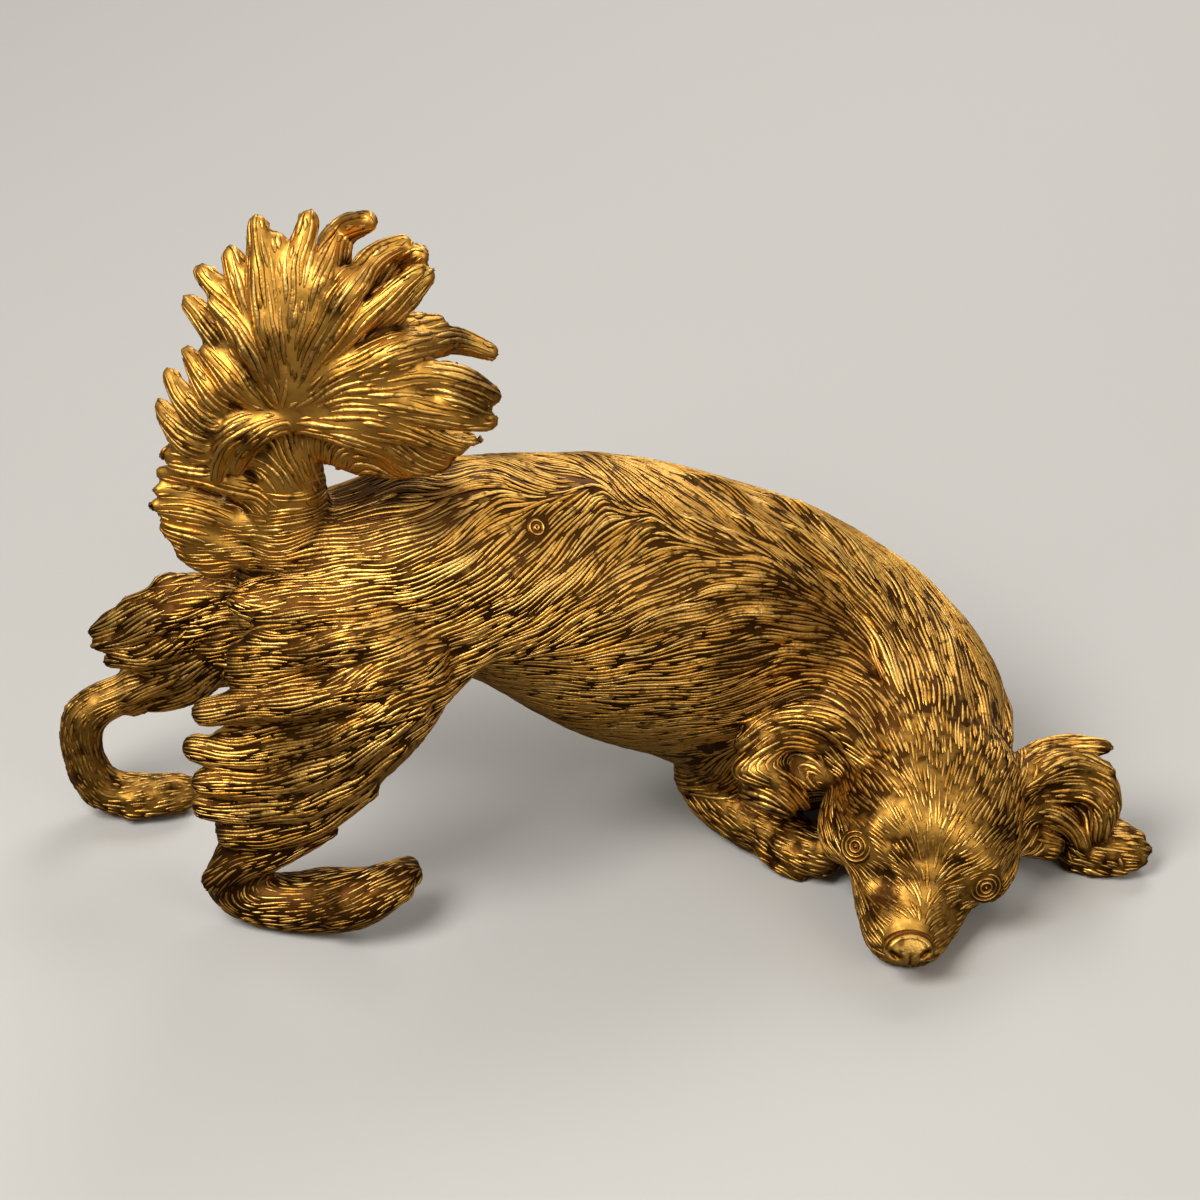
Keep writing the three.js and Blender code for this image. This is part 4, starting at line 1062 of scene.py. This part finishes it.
def add_range(tree, source, output, given, wanted=(0.0, 1.0)):
    """Adds a map of a given range of values to a wanted range."""
    inputs = {"From Min": given[0], "From Max": given[1], "To Min": wanted[0], "To Max": wanted[1]}
    return add_node(tree, "ShaderNodeMapRange", [(source, output, "Value")], inputs)


def add_mix(tree, factor, first, second):
    """Adds a mix of two colours by a (node, output) factor. A colour is a code or another (node, output)."""
    links = [(*factor, 0)]
    inputs = {}
    for socket, colour in ((6, first), (7, second)):
        if isinstance(colour, str):
            inputs[socket] = linear(colour)
        else:
            links.append((*colour, socket))
    return add_node(tree, "ShaderNodeMix", links, inputs, data_type="RGBA")


# Fire gilding: bright worn gold on the crests, the sides of the ridges painted darker as shade, brown where
# the gold has gone, and dark brown as painted shade in hollows and on the worn and shaded spots
gilt, tree, shader = new_finish("fire_gilded_bronze", 1.0)
crest = add_node(tree, "ShaderNodeAttribute", attribute_name="crest")
tone = add_node(tree, "ShaderNodeAttribute", attribute_name="ridge_tone")
gold = add_mix(tree, (tone, "Fac"), "#D0953A", "#EDBE66")
# The crests of the ridges are painted in gold and their sides darker as shade
crest_lit = add_range(tree, crest, "Fac", (0.15, 0.75))
sides = add_mix(tree, (crest_lit, "Result"), "#6E4516", (gold, 2))
patches = add_noise(tree, 16, 2.0)
bare = add_range(tree, patches, "Fac", (0.55, 0.75), (0.0, 0.75))
worn = add_mix(tree, (bare, "Result"), (sides, 2), "#6B4520")
# Painted shade: dark brown in the hollows between locks and on the spots of worn gold and painted shade
shade = add_node(tree, "ShaderNodeAttribute", attribute_name="shade")
shaded_and_worn = add_mix(tree, (shade, "Fac"), (worn, 2), "#4A2E12")
specks = add_noise(tree, 1.4, 3.0)
flecks = add_range(tree, specks, "Fac", (0.55, 0.68), (0.0, 0.8))
specked = add_mix(tree, (flecks, "Result"), (shaded_and_worn, 2), "#5E3B14")
tree.links.new(specked.outputs[2], shader.inputs["Base Color"])
grain = add_noise(tree, 0.5, 3.0)
gloss = add_range(tree, grain, "Fac", (0.0, 1.0), (0.3, 0.55))
tree.links.new(gloss.outputs["Result"], shader.inputs["Roughness"])
depth = {"Strength": 0.7, "Distance": 0.15 * MM}
pits = add_node(tree, "ShaderNodeBump", [(grain, "Fac", "Height")], depth)
tree.links.new(pits.outputs["Normal"], shader.inputs["Normal"])

# The ground between the ridges: brown bronze that the gold has mostly left, dull, with rubbed golden spots,
# and browner where shade is painted into hollows
ground, tree, shader = new_finish("browned_bronze_ground", 1.0)
shader.inputs["Roughness"].default_value = 0.46
spots = add_noise(tree, 2.5, 4.0)
gilding = add_node(tree, "ShaderNodeAttribute", attribute_name="gilding")
total = add_node(tree, "ShaderNodeMath", [(spots, "Fac", 0), (gilding, "Fac", 1)], operation="ADD")
rubbed = add_range(tree, total, "Value", (0.65, 1.05))
colour = add_mix(tree, (rubbed, "Result"), "#4E3012", "#D39C44")
tree.links.new(colour.outputs[2], shader.inputs["Base Color"])
depth = {"Strength": 0.4, "Distance": 0.4 * MM}
pits = add_node(tree, "ShaderNodeBump", [(spots, "Fac", "Height")], depth)
tree.links.new(pits.outputs["Normal"], shader.inputs["Normal"])

# Skin and hair of each casting. A casting with much hair has it in several pieces, from left to right.
HAIR_TREE = hair_tree()
for node in CASTINGS:
    _, _, width, flatness, gold_left = HAIR[node]
    values, past = skin_part(node)
    corner = own_field[node].corner
    points, faces, corners = surface(values, corner)
    name = node.replace("_casting", "")
    piece = mesh_object(name + "_skin", points, faces)
    away = np.linalg.norm(points - nose_spot[0], axis=1)
    on_face = np.clip((FACE_REACH - away) / FACE_FADE, 0, 1)
    # Less gilding on the skin where shade is painted into hollows and on the spots of worn gold and painted
    # shade
    gold_taken = SHADE_AND_WEAR_LOSS * np.maximum(shade_at(points), wear_and_shade_at(points))
    give_attribute(piece.data, "gilding", gold_left + FACE_GILDING * on_face - gold_taken)
    keep(piece, ground)
    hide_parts(node)
    seeds = scattered(points, corners)
    cell = np.clip(np.round((seeds - corner) / VOXEL).astype(int), 0, np.array(past.shape) - 1)
    lines = hair_lines(node, seeds[past[tuple(cell.T)] < HAIR_PAST])
    lines.sort(key=lambda line: line[0][0])
    count = math.ceil(sum(len(line) for line in lines) / MOST_RIDGE_POINTS)
    for number, picked in enumerate(np.array_split(np.arange(len(lines)), count)):
        label = name + "_hair" + (f"_{number + 1}" if count > 1 else "")
        ridges = [lines[i] for i in picked]
        keep(hair_object(label, ridges, width, flatness, FOOT_HEIGHT.get(node, 0)), gilt)
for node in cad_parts:
    if node not in CASTINGS:
        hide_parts(node)

# Eyes, plug and nose pad
eye_height = ring_height(EYE_RINGS, EYE_RADIUS, EYE_DOME)
plug_height = ring_height(PLUG_RINGS, PLUG_RADIUS, PLUG_DOME)
for side, spot in zip(("right", "left"), eye_spots):
    keep(relief_disc(side + "_eye", spot, EYE_RADIUS, EYE_RADIUS, eye_height), gilt)
keep(relief_disc("flank_plug", plug_spot[0], PLUG_RADIUS, PLUG_RADIUS, plug_height), gilt)
keep(relief_disc("nose_pad", nose_spot[0], NOSE_HALF_WIDTH, NOSE_HALF_HEIGHT, nose_height), gilt)

# A floor of matt paper, which the gilding mirrors darker than it is
FLOOR_HALF = 3.0  # in metres
floor_corners = [(FLOOR_HALF * x, FLOOR_HALF * y, 0) for x, y in ((-1, -1), (1, -1), (1, 1), (-1, 1))]
floor_mesh = bpy.data.meshes.new("floor")
floor_mesh.from_pydata(floor_corners, [], [(0, 1, 2, 3)])
floor = add_object("floor", floor_mesh)
paper, tree, shader = new_finish("matt_paper_sweep", 0.0)
shader.inputs["Roughness"].default_value = 0.9
light_path = add_node(tree, "ShaderNodeLightPath")
tint = add_mix(tree, (light_path, "Is Glossy Ray"), "#CFCCC6", "#57524A")
tree.links.new(tint.outputs[2], shader.inputs["Base Color"])
floor_mesh.materials.append(paper)

# Light from all round, brighter from above in what the gilding mirrors
world = bpy.data.worlds.new("studio")
bpy.context.scene.world = world
world.use_nodes = True
tree = world.node_tree
around = add_node(tree, "ShaderNodeTexCoord")
parts = add_node(tree, "ShaderNodeSeparateXYZ", [(around, "Generated", "Vector")])
height = add_range(tree, parts, "Z", (0.0, 1.0), (0.25, 1.1))
light_path = add_node(tree, "ShaderNodeLightPath")
levels = [(light_path, "Is Glossy Ray", 0), (height, "Result", 3)]
level = add_node(tree, "ShaderNodeMix", levels, {2: 0.3}, data_type="FLOAT")
background = tree.nodes["Background"]
background.inputs["Color"].default_value = linear("#D8D4CC")
tree.links.new(level.outputs[0], background.inputs["Strength"])

# Three soft lamps and the camera, in metres
LIGHT_AIM = Vector((0, 0.02, 0.04))


def soft_box(name, place, size, watts):
    light = bpy.data.lights.new(name, "AREA")
    light.shape = "SQUARE"
    light.size = size
    light.energy = watts
    lamp = add_object(name, light)
    lamp.location = place
    lamp.rotation_euler = (LIGHT_AIM - Vector(place)).to_track_quat("-Z", "Y").to_euler()


soft_box("key", (-0.3, -0.34, 0.58), 0.34, 4.2)
soft_box("fill", (0.5, -0.55, 0.35), 0.4, 1.6)
soft_box("back", (0.15, 0.5, 0.5), 0.35, 1.8)

lens = bpy.data.cameras.new("camera")
lens.sensor_width = SENSOR
lens.lens = SENSOR * VIEW_DISTANCE / (2 * VIEW_HALF_WIDTH)
camera = add_object("camera", lens)
camera.location = VIEW_EYE * MM
camera.rotation_euler = Vector(-VIEW_BACK).to_track_quat("-Z", "Y").to_euler()
bpy.context.scene.camera = camera
bpy.context.scene.view_settings.view_transform = "Standard"
